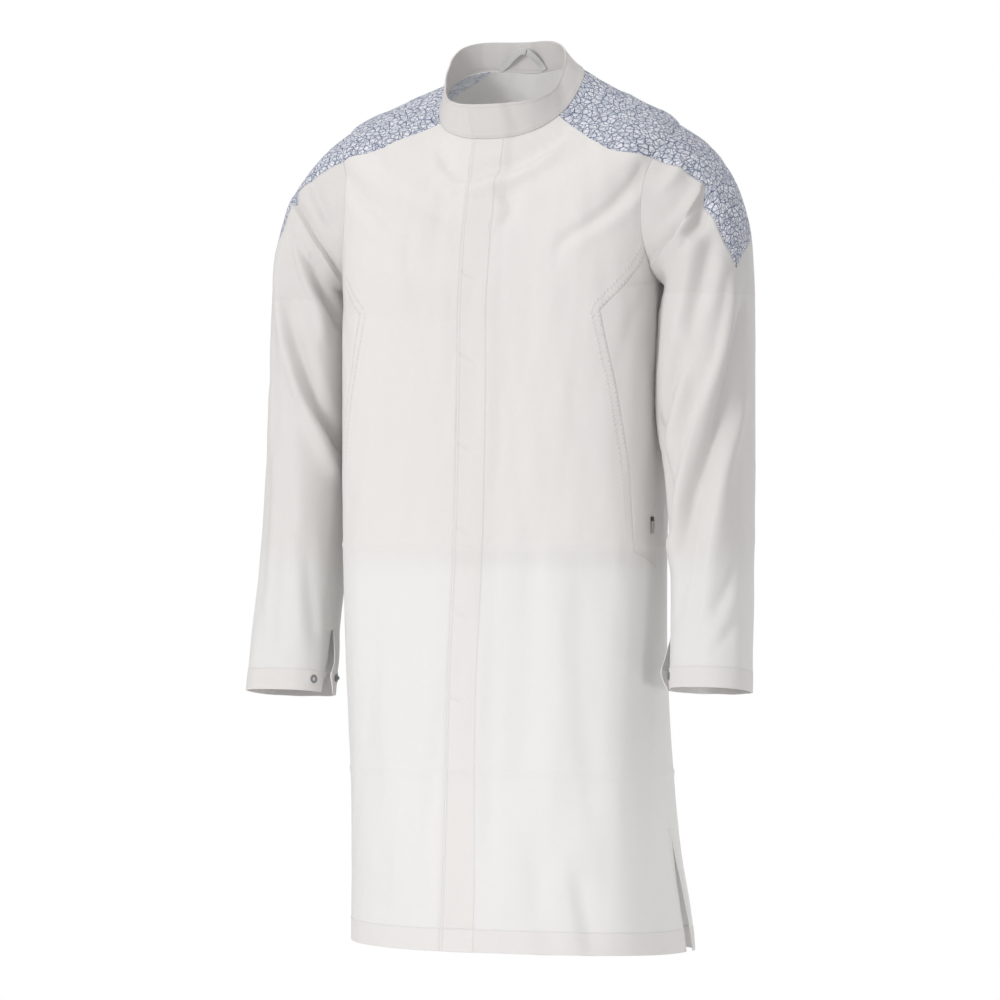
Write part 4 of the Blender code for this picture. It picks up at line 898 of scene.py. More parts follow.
# The yokes end on the armhole, and the rows follow its curve down to the underarm.
YOKE_FRONT[-1, 1] = armhole(YOKE_CORNER)[0]
YOKE_BACK[-1, 1] = armhole(180 - YOKE_CORNER)[0]

ARMHOLE_ANGLES = steps((YOKE_CORNER, -35.0, 29), (-35.0, -90.0, 20))
ARMHOLE_ROWS = ((ARMHOLE_TOP + ARMHOLE_LOW) / 2
                - (ARMHOLE_LOW - ARMHOLE_TOP) / 2 * np.sin(np.radians(ARMHOLE_ANGLES)))
ARMHOLE_ROWS[[0, 29, -1]] = YOKE_END, INSET_TOP, ARMHOLE_LOW
TOP_ROWS = np.concatenate([
    steps((0, 0.0003, 1), (0.0003, 0.012, 8), (0.012, YOKE_END, 42))[:-1], ARMHOLE_ROWS[:-1],
    steps((ARMHOLE_LOW, INSET_CORNER, 12), (INSET_CORNER, 0.50, 66), (0.50, INSET_FOOT, 32),
          (INSET_FOOT, INSET_END, 8), (INSET_END, VENT_TOP, 64), (VENT_TOP, 0.9765, 30),
          (0.9765, 0.9815, 6), (0.9815, 0.9997, 9), (0.9997, 1, 1))])
INSET_ROWS = TOP_ROWS[(TOP_ROWS > INSET_TOP - 1e-9) & (TOP_ROWS < INSET_END + 1e-9)]
SLEEVE_ROWS = steps((0, 0.0005, 1), (0.0005, 0.02, 8), (0.02, 0.078, 44), (0.078, WEDGE_END, 24),
                    (WEDGE_END, 0.178, 3), (0.178, SLIT_FROM, 100), (SLIT_FROM, 0.951, 22),
                    (0.951, 0.958, 6), (0.958, 0.9996, 12), (0.9996, 1, 1))
SLEEVE_COLUMNS = 120

LINES = seam_lines()


def mitres():
    """Lines along which two walls meet, with the directions they share."""
    turn = np.linspace(-180, 180, 361)
    found = [(body(turn, np.zeros(361)), neck_facing(turn))]
    turn = np.linspace(-270, 90, 361)
    for _, side in SIDES:
        round_body, down = armhole(turn)
        found.append((body(side * round_body, down), armhole_facing(turn, side)))
    return found


MITRES = mitres()
MITRE_REACH, MITRE_SOFT = 0.02, 0.006      # how far from the seam a mitre counts, and fades
SEAM_REACH, SEAM_NEAR = 0.03, 0.028        # how far from a seam its relief and marks are worked out
LAP_SHADE = 2.6                            # the painted shadow line under the lap is this much wider than a seam's
PUCKER_NEAR, PUCKER_OUT = 0.010, 0.004     # puckers reach this far, and run out over this much
# Lines with no seam's mark on the cloth: rows of stitches and open edges.
STITCHED_ONLY = {"hem_stitch", "lap_stitch", "cuff_stitch_left", "cuff_stitch_right",
                 "wedge_front_left", "wedge_front_right", "vent_front_left", "vent_front_right",
                 "vent_back_left", "vent_back_right", "lap_edge"}


def mitred(points, normals):
    """Outward directions, turned to the mitre near the neck and the armholes."""
    for line, shared in MITRES:
        away, run, _ = nearest(points, line, MITRE_REACH)
        weight = np.where(away < MITRE_REACH, np.exp(-(away / MITRE_SOFT) ** 2), 0)[..., None]
        normals = normals + (read_at(lengths(line), shared, run) - normals) * weight
    return normals


def seamed(points, seams):
    """Relief and marks beside the seams of a piece: name, ridge, rows of stitches, pucker, dip."""
    total = np.zeros(points.shape[:-1])
    marks = {mark: np.full(points.shape[:-1], far) for mark, far in MARKS}
    for name, ridge, rows, pucker, dip in seams:
        away, run, _ = nearest(points, LINES[name][0], SEAM_REACH)
        near = away < SEAM_NEAR
        total += np.where(near, seam_relief(away, ridge, dip), 0)
        if name not in STITCHED_ONLY:
            wider = LAP_SHADE if name == "lap_shadow" else 1.0
            marks["seam"] = np.minimum(marks["seam"], away / wider)
        for row in rows:
            marks["stitch"] = np.minimum(marks["stitch"], np.abs(away - row))
        if pucker:
            fading = pucker * (1 - smooth((away - PUCKER_NEAR) / PUCKER_OUT))
            marks["run"] = np.where(near, run, marks["run"])
            marks["pucker"] = np.where(near, fading, 0)
    return total, marks


SHAPED_LATE = 2.4                  # how late across a piece its columns take up the shaped edge


def reach_out(inner, outer, calm, s):
    """Turns from a plain edge to a shaped one; only the columns near it follow its shape."""
    shaped = (outer - calm)[:, None] * s**SHAPED_LATE
    return inner[:, None] + (calm - inner)[:, None] * s + shaped


VENT_NEAR = {True: (70.0, 94.0), False: (125.0, 99.0)}    # turns over which a front and a back lift


def vent_lift(turns, ways, front):
    """The back's edge stands out past the front's towards the foot of a side vent."""
    start, end = VENT_NEAR[front]
    near = smooth((np.abs(turns) - start) / (end - start))
    return near * smooth((ways - VENT_TOP) / VENT_OPENS) * (VENT_STEP if front else VENT_FLARE)


def hem_band(ways):
    """1 where the hem is turned up, 0 above its stitching."""
    return smooth((ways - HEM) / HEM_STEP + 0.5)


def front_outer(ways):
    """Turns of a front's outer edge, down the yoke, the armhole, the inset, the side and the vent."""
    return np.select([ways <= YOKE_END, ways <= INSET_TOP, ways <= INSET_END, ways <= VENT_TOP],
                     [path(YOKE_FRONT, ways), armhole_at(ways, 1), panel_at(ways),
                      path(SIDE_SEAM, ways)], path(VENT_FRONT, ways))


def back_outer(ways):
    """Turns of the back's outer edge, down the yoke, the armhole, the side and the vent."""
    return np.select([ways <= YOKE_END, ways <= ARMHOLE_LOW, ways <= VENT_TOP],
                     [path(YOKE_BACK, ways), armhole_at(ways, -1), path(SIDE_SEAM, ways)],
                     path(VENT_BACK, ways))


def body_cloth(name, turns, ways, seams, paints, double=0.0, extra=0.0, pointed=False, creases=()):
    """A piece cut on the body: its folds, the relief of its seams and its wall."""
    points, normals = body(turns, ways), body_facing(turns, ways)
    outward = mitred(points, normals)
    relief, marks = seamed(points, seams)
    lift = CLOTH / 2 + body_relief(points, normals, ways) + extra + relief + HEM_RISE * double
    lift = lift + folds(points, normals, creases, body)
    marks["pucker"] = marks["pucker"] * (1 - smooth((ways - PUCKER_END) / PUCKER_EASE))
    marks["double"] = double
    wall = WALL + (DOUBLE_WALL - WALL) * double
    return grid_cloth(name, points, points + outward * lift[..., None], outward, wall, marks,
                      paints, "white_twill", pointed)


def plain(*names):
    """Seams that only close, with neither ridge nor stitches."""
    return [(name, 0, (), 0.0, 0.0) for name in names]


def stitched(name, rows=(0.0,), ridge=0, dip=0.0):
    """A line that is topstitched in rows beside it."""
    return [(name, ridge, rows, 0.0, dip)]


# Rows of stitches beside the shaped seams and the vents, with the ridge of their allowances.
PANEL_ROWS, PANEL_RIDGE, PANEL_DIP = (0.0015, 0.0100), 0.0105, 0.0005
VENT_ROW, VENT_RIDGE, LAP_DIP = 0.006, 0.0065, 0.0003
TACK_RISE, TACK_WIDE, TACK_LEAN = -1.5, 2.6, 0.5          # as in the tables of folds
TACK_MARGIN, TACK_ROWS, ROW_LEAST = 0.004, 0.0016, 0.0006     # ways round and between rows


def tacked_rows():
    """Rows of the left front, closer together along its tacks."""
    close = [np.arange(low - TACK_MARGIN, high + TACK_MARGIN, TACK_ROWS)
             for (_, low), (_, high) in TACKS]
    ways = np.unique(np.concatenate([TOP_ROWS, *close]).round(6))
    kept = (np.diff(ways) > ROW_LEAST) | np.isin(ways[1:], TOP_ROWS.round(6))
    return ways[np.append(True, kept)]


def placket(ways, stitch):
    """Turns of the left front from its lapping edge to just short of its stitching."""
    edge = path(LAP_EDGE, ways)
    degree = np.linalg.norm(body(edge + 0.5, ways) - body(edge - 0.5, ways), axis=-1)
    sewn = edge + LAP_SEWN / degree
    share = np.array([0, .04, .09, .16, .25, .34, .43, .52, .61, .70, .78, .85, .9, .94, .97])
    return np.concatenate([edge[:, None] + (sewn - edge)[:, None] * np.array([0, .3, .6, .85]),
                           sewn[:, None] + (stitch - sewn)[:, None] * share], axis=1)


def front_cloth(word, side, paints):
    """One front; the left laps over the right down the centre."""
    ways, creases = TOP_ROWS, ()
    if side > 0:
        ways, creases = tacked_rows(), [(TACK_RISE, TACK_WIDE, TACK_LEAN, *places) for places in TACKS]
    outer, calm, stitch = front_outer(ways), path(CALM_SIDE, ways), path(LAP_STITCH, ways)
    if side > 0:
        s = np.concatenate([[0, .006, .013, .022, .035, .05], np.linspace(.07, .92, 42),
                            np.linspace(.93, .998, 12), [1]])
        turns = np.concatenate([placket(ways, stitch), reach_out(stitch, outer, calm, s)], axis=1)
    else:
        s = np.concatenate([np.linspace(0, .17, 7), np.linspace(.19, .92, 50),
                            np.linspace(.93, .998, 12), [1]])
        turns = -reach_out(LAP_UNDER - stitch, outer, calm, s)[:, ::-1]
    grid = np.broadcast_to(ways[:, None], turns.shape)
    double = hem_band(grid)
    extra = vent_lift(turns, grid, True)
    seams = plain("neck", "yoke_front_" + word, "armhole_" + word)
    seams += [("panel_" + word, PANEL_RIDGE, PANEL_ROWS, 1.0, PANEL_DIP)] + plain("side_" + word)
    seams += stitched("vent_front_" + word, (VENT_ROW,), VENT_RIDGE) + stitched("hem_stitch")
    if side > 0:
        double = np.maximum(double, 1 - smooth((turns - stitch[:, None]) / 0.5 + 0.5))
        extra = extra + lap(turns, grid)
        seams += stitched("lap_edge", (LAP_SEWN,), dip=LAP_DIP) + stitched("lap_stitch")
    else:
        # painted shadow: a dark band on the right front under the lap's edge, from a seam's mark where
        # there is no seam
        seams += plain("lap_shadow")
    return body_cloth("front_cloth_" + word, turns, grid, seams, paints, double, extra, creases=creases)


def side_cloth(word, side, paints):
    """Inset under the arm, between the shaped front seam and the side seam."""
    ways = INSET_ROWS
    inner = panel_at(ways)
    inner[0] = armhole_at(ways[0], 1)
    outer = np.where(ways <= ARMHOLE_LOW, armhole_at(ways, 1), path(SIDE_SEAM, ways))
    share = steps((0, .003, 1), (.003, .12, 6), (.12, .88, 14), (.88, .997, 4), (.997, 1, 1))
    turns = inner[:, None] + (outer - inner)[:, None] * share
    if side < 0:
        turns = -turns[:, ::-1]
    grid = np.broadcast_to(ways[:, None], turns.shape)
    seams = plain("armhole_" + word) + stitched("panel_" + word, (), dip=PANEL_DIP)
    seams += plain("side_" + word)
    return body_cloth("side_cloth_" + word, turns, grid, seams, paints, pointed=True)


def back_cloth(paints):
    """The back in one piece, with the rear edges of both vents."""
    ways = TOP_ROWS
    outer = back_outer(ways)
    s = np.concatenate([np.linspace(0, .93, 46), np.linspace(.94, .9985, 10), [1]])
    half = reach_out(np.full_like(outer, 180.0), outer, path(CALM_BACK, ways), s)
    turns = np.concatenate([half[:, ::-1], 360 - half[:, 1:]], axis=1)
    grid = np.broadcast_to(ways[:, None], turns.shape)
    seams = plain("neck") + stitched("hem_stitch")
    for word, _ in SIDES:
        seams += plain("yoke_back_" + word, "armhole_" + word, "side_" + word)
        seams += stitched("vent_back_" + word, (VENT_ROW,), VENT_RIDGE)
    signed = np.where(turns > 180, turns - 360, turns)
    return body_cloth("back_cloth", turns, grid, seams, paints, hem_band(grid),
                      vent_lift(signed, grid, False))


def yoke_cloth(word, side, paints):
    """Printed piece over the shoulder, from the collar to its point on the sleeve."""
    u = steps((0, .003, 1), (.003, .06, 5), (.06, .94, 34), (.94, .997, 5), (.997, 1, 1))
    s = steps((0, .002, 1), (.002, .05, 6), (.05, .93, 40), (.93, 1, 6))[:, None]
    arm_turn = YOKE_CORNER + (180 - 2 * YOKE_CORNER) * u
    top_turn, top_way = armhole(arm_turn)
    neck_turn = YOKE_FRONT[0, 1] + (YOKE_BACK[0, 1] - YOKE_FRONT[0, 1]) * u
    turns = (1 - s) * neck_turn + s * top_turn
    turns = (turns + (1 - u) * (path(YOKE_FRONT, YOKE_END * s) - turns[:, :1])
             + u * (path(YOKE_BACK, YOKE_END * s) - turns[:, -1:]))
    ways = s * top_way
    ways = ways + (1 - u) * (YOKE_END * s - ways[:, :1]) + u * (YOKE_END * s - ways[:, -1:])
    over = body(turns * side, ways)
    outward = mitred(over, body_facing(turns * side, ways))
    relief, marks = seamed(over, plain("neck", "yoke_front_" + word, "yoke_back_" + word))
    over_lift = CLOTH / 2 + body_relief(over, outward, ways) + relief
    rows = SLEEVE_ROWS[1:][SLEEVE_ROWS[1:] <= WEDGE_END + 1e-9]
    first, last = path(WEDGE_FRONT, rows, WEDGE_CORNER), path(WEDGE_BACK, rows, WEDGE_TURN)
    turns = first[:, None] + (last - first)[:, None] * u
    ways = np.broadcast_to(rows[:, None], turns.shape)
    down, facing_out = sleeve(turns, ways, side), sleeve_facing(turns, ways, side)
    down_out = mitred(down, facing_out)
    relief, more = seamed(down, plain("wedge_front_" + word, "wedge_back_" + word))
    down_lift = CLOTH / 2 + sleeve_relief(down, facing_out, turns, ways, side) + relief
    marks = {mark: np.concatenate([marks[mark], more[mark]]) for mark in marks}
    points = np.concatenate([over + outward * over_lift[..., None],
                             down + down_out * down_lift[..., None]])
    return grid_cloth("yoke_cloth_" + word, np.concatenate([over, down]), points,
                      np.concatenate([outward, down_out]), WALL, marks, paints, "printed_twill",
                      flip=side < 0)


SEAT_FLAT, SEAT_EASE = 0.0065, 0.006   # the cloth is level this far round a snap, then eases off
SEAT_DEEP = 0.02                       # and only where it is this near the snap's face


def seated(points, outward, node):
    """Cloth drawn level under a snap of the frame, so that the snap sits on it."""
    verts = np.array([v.co for v in node.data.vertices])
    centre = verts.mean(axis=0)
    near = np.linalg.norm(points - centre, axis=-1)
    facing_out = outward.reshape(-1, 3)[np.argmin(near)]
    thin = np.linalg.svd(verts - centre, full_matrices=False)[2][2]
    thin = thin * np.sign(thin @ facing_out)
    seat = centre @ thin + ((verts - centre) @ thin).min() - SEAM / 2
    flat_way = (points - centre) @ thin
    beside = np.sqrt(np.maximum(near**2 - flat_way**2, 0))
    weight = (1 - smooth((beside - SEAT_FLAT) / SEAT_EASE)) * (np.abs(flat_way) < SEAT_DEEP)
    return points + thin * ((seat - points @ thin) * weight)[..., None]


SLEEVE_JOIN, SLEEVE_UNDER = 58.4, 31.6     # turn at which the grid joins, and how far it drifts
SLEEVE_DRIFT = 0.25                        # way over which it drifts
SLIT_WIDE, SLIT_CLOSED = 2.2, 0.9          # columns that the slit opens, and its ease above it
SLIT_COLUMNS, WEDGE_RIDGE = 22, 0.004


def slit_turns(turns, ways):
    """Turns of a sleeve parted at its slit, how far its edges stand out, and its rows.

    The middle column is there twice: the last column is the slit's under edge.
    """
    middle = SLEEVE_COLUMNS // 2
    place_in = (np.arange(SLEEVE_COLUMNS + 1) - middle) * SLIT_COLUMNS / SLEEVE_COLUMNS
    near, over_side = np.exp(-(place_in / SLIT_WIDE) ** 2), place_in >= 0
    slit = ways > SLIT_FROM + 1e-9
    over = turns + (slit * path(SLIT_FRONT, ways))[:, None] * near
    under = turns + (slit * path(SLIT_BACK, ways))[:, None] * near
    stands = path(SLIT_FLARE, ways)[:, None]
    closed = stands * np.exp(-(place_in / SLIT_CLOSED) ** 2) * over_side
    flare = stands * near * ~over_side + np.where(slit[:, None], 0, closed)
    parted = np.concatenate([np.where(over_side, over, under), under[:, middle:middle + 1]], axis=1)
    return parted, np.concatenate([flare, stands], axis=1), slit


def sleeve_cloth(word, side, paints):
    """One sleeve, open along the yoke's wedge and at the slit of the cuff."""
    ways, count, middle = SLEEVE_ROWS, SLEEVE_COLUMNS, SLEEVE_COLUMNS // 2
    open_rows = ways <= WEDGE_END + 1e-9
    join = SLEEVE_JOIN + SLEEVE_UNDER * smooth((ways - WEDGE_END) / SLEEVE_DRIFT)
    start = np.where(open_rows, path(WEDGE_BACK, ways, WEDGE_TURN), join)
    end = np.where(open_rows, path(WEDGE_FRONT, ways, WEDGE_CORNER) + 360, join + 360)
    turns = start[:, None] + (end - start)[:, None] * np.linspace(0, 1, count + 1)
    turns, flare, slit = slit_turns(turns, ways)
    grid = np.broadcast_to(ways[:, None], turns.shape)
    points, facing_out = sleeve(turns, grid, side), sleeve_facing(turns, grid, side)
    outward = mitred(points, facing_out)
    double = smooth((grid - CUFF) / CUFF_STEP + 0.5)
    seams = plain("armhole_" + word) + stitched("cuff_stitch_" + word)
    for edge in ("wedge_front_", "wedge_back_"):
        seams += stitched(edge + word, (), WEDGE_RIDGE)
    relief, marks = seamed(points, seams)
    marks["double"] = double
    lift = CLOTH / 2 + sleeve_relief(points, facing_out, turns, grid, side) + relief + HEM_RISE * double
    outer = points + outward * (lift + flare)[..., None]
    for kind in SNAP_KINDS:
        outer = seated(outer, outward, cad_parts[kind + word])
    cloth = Cloth()
    ids = cloth.add(outer, outward, WALL + (DOUBLE_WALL - WALL) * double, marks)
    ids[~open_rows, count] = ids[~open_rows, 0]
    back_ids = ids[:, :middle + 1].copy()
    back_ids[slit, middle] = ids[slit, count + 1]
    measure = measured(points[:, :count + 1], middle)
    cloth.weave(back_ids, measure[:, :middle + 1], flip=side < 0)
    cloth.weave(ids[:, middle:count + 1], measure[:, middle:], flip=side < 0)
    return cloth.build("sleeve_cloth_" + word, *paints, "white_twill")


COLLAR_HIGH, COLLAR_PROUD = 0.042, 0.0004  # height of the collar; it stands off the neck seam
NECK_RIDGE, NECK_ROW, NECK_DIP = 0.004, 0.003, 0.0001
RIM_ROW, RIM_RISE = 0.0042, 0.0005         # stitched this far under the rim, raised above that
RIM_FROM, RIM_FALL = 0.0017, 0.0025
END_RISE, END_TURNS = 0.0007, 5.0          # the lapping end stands off a little more
END_SHADE = 3.0                            # the painted shadow line beside it is this much wider than a seam's


def collar_cloth(paints):
    """Stand collar; its left end laps over its right end at the centre front."""
    start, end = LAP_EDGE[0, 1], 360 + LAP_STITCH[0, 1] - LAP_UNDER
    turns = steps((start, start + 8, 10), (start + 8, end, 300))
    ups = np.array([1, .985, .96, .92, .90, .88, .85, .77, .69, .61, .53, .45, .37, .29, .22, .16,
                    .12, .095, .075, .055, .035, .015, 0])
    turns = np.broadcast_to(turns, (len(ups), len(turns)))
    ups = np.broadcast_to(ups[:, None], turns.shape)
    points, normals = collar(turns, ups), collar_facing(turns, ups)
    outward = mitred(points, normals)
    relief, marks = seamed(points, stitched("neck", (NECK_ROW,), NECK_RIDGE, NECK_DIP))
    # painted shadow: the collar's right end is marked as a seam beside the lapping end's edge, and so
    # is painted darker there
    away, _, _ = nearest(points, collar(np.full(40, start), np.linspace(0, 1, 40)), MITRE_REACH)
    under = (turns > 180) & (away < MITRE_REACH)
    marks["seam"] = np.where(under, np.minimum(marks["seam"], away / END_SHADE), marks["seam"])
    below = (1 - ups) * COLLAR_HIGH
    marks["stitch"] = np.minimum(marks["stitch"], np.abs(below - RIM_ROW))
    marks["double"] = 1.0
    lift = CLOTH / 2 + COLLAR_PROUD + rolls(points) + folds(points, normals, COLLAR_FOLDS, collar)
    lift = lift + np.where(turns < 180, lap(turns, 0.0), 0.0) + relief
    lift = lift + RIM_RISE * (1 - smooth((below - RIM_FROM) / RIM_FALL))
    lift = lift + END_RISE * np.exp(-((turns - start) / END_TURNS) ** 2)
    return grid_cloth("collar_cloth", points, points + outward * lift[..., None], outward,
                      DOUBLE_WALL, marks, paints, "white_twill")


# Soft hollows and rolls of the collar: height mm, half width mm, lean, (turn, up) places.
COLLAR_FOLDS = (
    (-1.4, 7, 0.3, (20, 1.0), (24, 0.5), (26, 0.1)),
    (0.7, 9, 0.0, (46, 1.0), (44, 0.5), (43, 0.1)),
    (-0.9, 8, 0.0, (-34, 1.0), (-38, 0.5), (-40, 0.1)),
    (0.6, 9, 0.0, (-60, 1.0), (-58, 0.5), (-57, 0.1)),
    (-0.8, 9, 0.0, (110, 1.0), (108, 0.4), (106, 0.0)),
    (-0.8, 9, 0.0, (-104, 1.0), (-106, 0.4), (-108, 0.0)),
)

LOOP = np.array([
    # share degrees up    stand-off
    [0.00, 212.0, 0.07, 0.0000],
    [0.14, 206.0, 0.22, 0.0012],
    [0.30, 198.0, 0.44, 0.0060],
    [0.45, 189.0, 0.66, 0.0086],
    [0.58, 179.5, 0.78, 0.0094],
    [0.70, 171.5, 0.70, 0.0086],
    [0.80, 167.5, 0.50, 0.0060],
    [0.91, 165.5, 0.26, 0.0012],
    [1.00, 164.5, 0.07, 0.0000],
])
LOOP_WIDTH, TAPE = 0.008, 0.0011
LOOP_STITCHED = 59                 # place on the loop's run of 91 where a stitch crosses it
TAPE_STANDS = 0.00005              # gap between the tape and the collar
TAB_AT, TAB_SIZE, TAB_BULGE = (81.8, 0.570), (0.008, 0.020), 0.0010
TAB_RUN = 1.15                     # metres of cloth for a whole way down, at the tab


def ribbon(name, centre, across, normals, slot, paint):
    """Strip of tape along a line."""
    share = np.array([-1, -0.9, -0.5, 0, 0.5, 0.9, 1.0])
    grid = centre[:, None] + across[:, None] * share[:, None] + normals[:, None] * TAPE / 2
    flip = np.dot(np.cross(centre[1] - centre[0], across[0]), normals[0]) < 0
    outward = np.broadcast_to(normals[:, None], grid.shape)
    return grid_cloth(name, grid, grid, outward, TAPE, {}, (paint, paint), slot, flip=flip)


def loop_run():
    """Middle of the hanger loop's tape, along its run, and the way to the collar."""
    turns, ups, stand = np.moveaxis(along(LOOP, np.linspace(0, 1, 91)), -1, 0)
    normals = collar_facing(turns, ups)
    centre = collar(turns, ups) - normals * (CLOTH / 2 + TAPE / 2 + TAPE_STANDS + stand)[:, None]
    return centre, normals


def tab_run():
    """Middle of the side tab, down its run, and the way out from the cloth."""
    share = np.linspace(0, 1, 21)
    ways, turns = TAB_AT[1] + share * TAB_SIZE[1] / TAB_RUN, np.full_like(share, TAB_AT[0])
    normals, centre = body_facing(turns, ways), body(turns, ways)
    lift = CLOTH / 2 + body_relief(centre, normals, ways) + TAPE / 2 + SEAM / 2
    lift = lift + TAB_BULGE * np.sin(np.pi * share) ** 2
    return centre + normals * lift[:, None], normals


# ---------------------------------------------------------------- sewing

COLLAR_ROW, COLLAR_END = 0.075, 1.6        # row above the neck, and degrees in from the lapping end
LAP_START = 0.004                          # share of the lap above its rows
LAP_TACKS = (((-12.4, .163), (-11.9, .176)), ((5.9, .156), (6.4, .172)))
VENT_TACKS = ((90.6, 86.0), (91.4, 96.0))  # degrees round, on the front and on the back
PANEL_SEWN = 0.70                          # share of the shaped seam that is sewn in two rows
HEM_SPANS = {"front_cloth_left": (-11.6, 94), "front_cloth_right": (-94, 2), "back_cloth": (99, 261)}
SLIT_SEWN = (0.002, 0.005)                 # rows beside the slit of a cuff
GREEN_PITCH, GREEN_THREAD, GREEN_SHARE = 0.0017, 0.0011, 0.86


def collar_line(turns, ups):
    """A line on the collar, with its outward directions."""
    return collar(turns, ups), collar_facing(turns, ups)


def sewn_fronts():
    """Rows on the collar, the lap, the shaped seams and the vents, with their bar tacks."""
    thread, neckband, back = Thread(), TREES["collar_cloth"], TREES["back_cloth"]
    left = TREES["front_cloth_left"]
    turns = np.linspace(LAP_EDGE[0, 1] + 0.4, 371, 500)
    thread.row(collar_line(turns, np.full(500, COLLAR_ROW)), neckband)
    turns = np.full(30, LAP_EDGE[0, 1] + COLLAR_END)
    thread.row(collar_line(turns, np.linspace(0.06, 0.95, 30)), neckband)
    thread.row(LINES["lap_edge"], left, LAP_SEWN, LAP_START)
    thread.row(LINES["lap_stitch"], left, 0.0, LAP_START)
    for places in LAP_TACKS:
        tack = bent(places, 8)
        thread.bars(body_line(tack[:, 0], tack[:, 1]), left)
    for word, side in SIDES:
        front = TREES["front_cloth_" + word]
        for away in PANEL_ROWS:
            thread.row(LINES["panel_" + word], front, -side * away, end=PANEL_SEWN)
        thread.row(LINES["vent_front_" + word], front, -side * VENT_ROW)
        thread.row(LINES["vent_back_" + word], back, side * VENT_ROW)
        for span, tree in zip(VENT_TACKS, (front, back)):
            thread.bars(body_line(side * np.linspace(*span, 12), np.full(12, VENT_TOP)), tree)
    return thread


def sewn_hems():
    """Rows of the turned-up hem and cuffs, and two beside the slit of each cuff."""
    hems = Thread()
    for name, span in HEM_SPANS.items():
        hems.row(body_line(np.linspace(*span, 200), np.full(200, HEM)), TREES[name])
    for word, side in SIDES:
        tree = TREES["sleeve_cloth_" + word]
        hems.row(sleeve_line(np.linspace(-85, 262, 260), np.full(260, CUFF), side), tree)
        down = np.linspace(SLIT_FROM, 0.998, 40)
        slit = sleeve_line(270 + path(SLIT_BACK, down), down, side)
        for away in SLIT_SEWN:
            hems.row(slit, tree, -side * away)
    return hems


def sewn_loop():
    """The green stitches across the tape of the hanger loop, on its open side."""
    green = Thread()
    centre, normals = loop_run()
    outward = -normals[LOOP_STITCHED]
    side = crossing(centre, normals)[LOOP_STITCHED] * LOOP_WIDTH / 2
    across = centre[LOOP_STITCHED] + side * np.linspace(-GREEN_SHARE, GREEN_SHARE, 12)[:, None]
    green.row((across, np.tile(outward, (12, 1))), TREES["hanger_loop_cloth"],
              pitch=GREEN_PITCH, wide=GREEN_THREAD)
    green.verts = [v + Vector(outward) * TAPE for v in green.verts]
    return green


# ---------------------------------------------------------------- materials


class Value:
    """A shader socket that can be used in sums and products."""

    def __init__(self, surface, socket):
        self.surface, self.socket = surface, socket

    def maths(self, kind, *others):
        inputs = dict(enumerate((self, *others)))
        return self.surface.node("ShaderNodeMath", {"operation": kind}, inputs)

    def __add__(self, other):
        return self.maths("ADD", other)

    def __sub__(self, other):
        return self.maths("SUBTRACT", other)

    def __rsub__(self, other):
        return self.surface.node("ShaderNodeMath", {"operation": "SUBTRACT"}, {0: other, 1: self})

    def __mul__(self, other):
        return self.maths("MULTIPLY", other)

    def __truediv__(self, other):
        return self.maths("DIVIDE", other)

    __radd__, __rmul__ = __add__, __mul__


class Surface:
    """A material under construction."""

    def __init__(self, name, **constants):
        self.material = bpy.data.materials.new(name)
        self.material.use_nodes = True
        self.tree = self.material.node_tree
        self.shader = self.tree.nodes["Principled BSDF"]
        for socket, value in constants.items():
            self.shader.inputs[socket.replace("_", " ")].default_value = value

    def node(self, kind, settings=None, inputs=None, output=0):
        node = self.tree.nodes.new(kind)
        for key, value in (settings or {}).items():
            setattr(node, key, value)
        for key, value in (inputs or {}).items():
            if isinstance(value, Value):
                self.tree.links.new(value.socket, node.inputs[key])
            else:
                node.inputs[key].default_value = value
        return Value(self, node.outputs[output])

    def split(self, vector):
        node = self.node("ShaderNodeSeparateXYZ", None, {0: vector}).socket.node
        return [Value(self, socket) for socket in node.outputs]

    def join(self, x, y, z=0.0):
        return self.node("ShaderNodeCombineXYZ", None, {0: x, 1: y, 2: z})

    def mix(self, factor, one, two):
        return self.node("ShaderNodeMix", {"data_type": "RGBA"}, {0: factor, 6: one, 7: two}, 2)

    def step(self, value, low, high):
        """Soft step of a value from low to high."""
        return self.node("ShaderNodeMapRange", {"interpolation_type": "SMOOTHSTEP"},
                         {0: value, 1: low, 2: high})

    def noise(self, vector, scale, detail):
        return self.node("ShaderNodeTexNoise", None,
                         {"Vector": vector, "Scale": scale, "Detail": detail, "Roughness": 0.5})

    def wave(self, value, length):
        return (value * (2 * math.pi / length)).maths("SINE")

    def mark(self, name):
        """A mark kept at the points of the cloth."""
        return self.node("ShaderNodeAttribute", {"attribute_name": name}, None, 2)

    def cloth(self):
        """Measures of the cloth in metres: across and up."""
        return self.node("ShaderNodeUVMap", {"uv_map": "cloth"})

    def place(self):
        return self.node("ShaderNodeTexCoord", None, None, 3)

    def finish(self, colour, roughness, height=None, distance=0.0):
        """Joins the looks to the shader; height is a relief of distance metres."""
        self.tree.links.new(colour.socket, self.shader.inputs["Base Color"])
        self.tree.links.new(roughness.socket, self.shader.inputs["Roughness"])
        if height is not None:
            bump = self.node("ShaderNodeBump", None,
                             {"Height": height, "Distance": distance, "Strength": 1.0})
            self.tree.links.new(bump.socket, self.shader.inputs["Normal"])
        return self.material


# Fine measures of the cloth's looks, in metres.
WALE, WEAVE_DEEP = 0.00072, 0.00007        # from one wale of the twill to the next, and its relief
PUCKER_PITCH, PUCKER_DRIFT = 0.0054, 0.004
UPPER_SHADE_DOWN, UPPER_SHADE_BACK = (-0.575, -0.520), (-0.02, 0.04)     # z and y over which the painted shade of the upper front ends
COOL_WHITE, WARM_WHITE = (236, 235, 233), (232, 228, 226)
DOUBLE_WARM, UPPER_SHADE_WARM, CLOUD_WARM = 0.65, 0.75, 0.5         # how warm each makes the white; on the upper front the warmer, darker white is painted shade
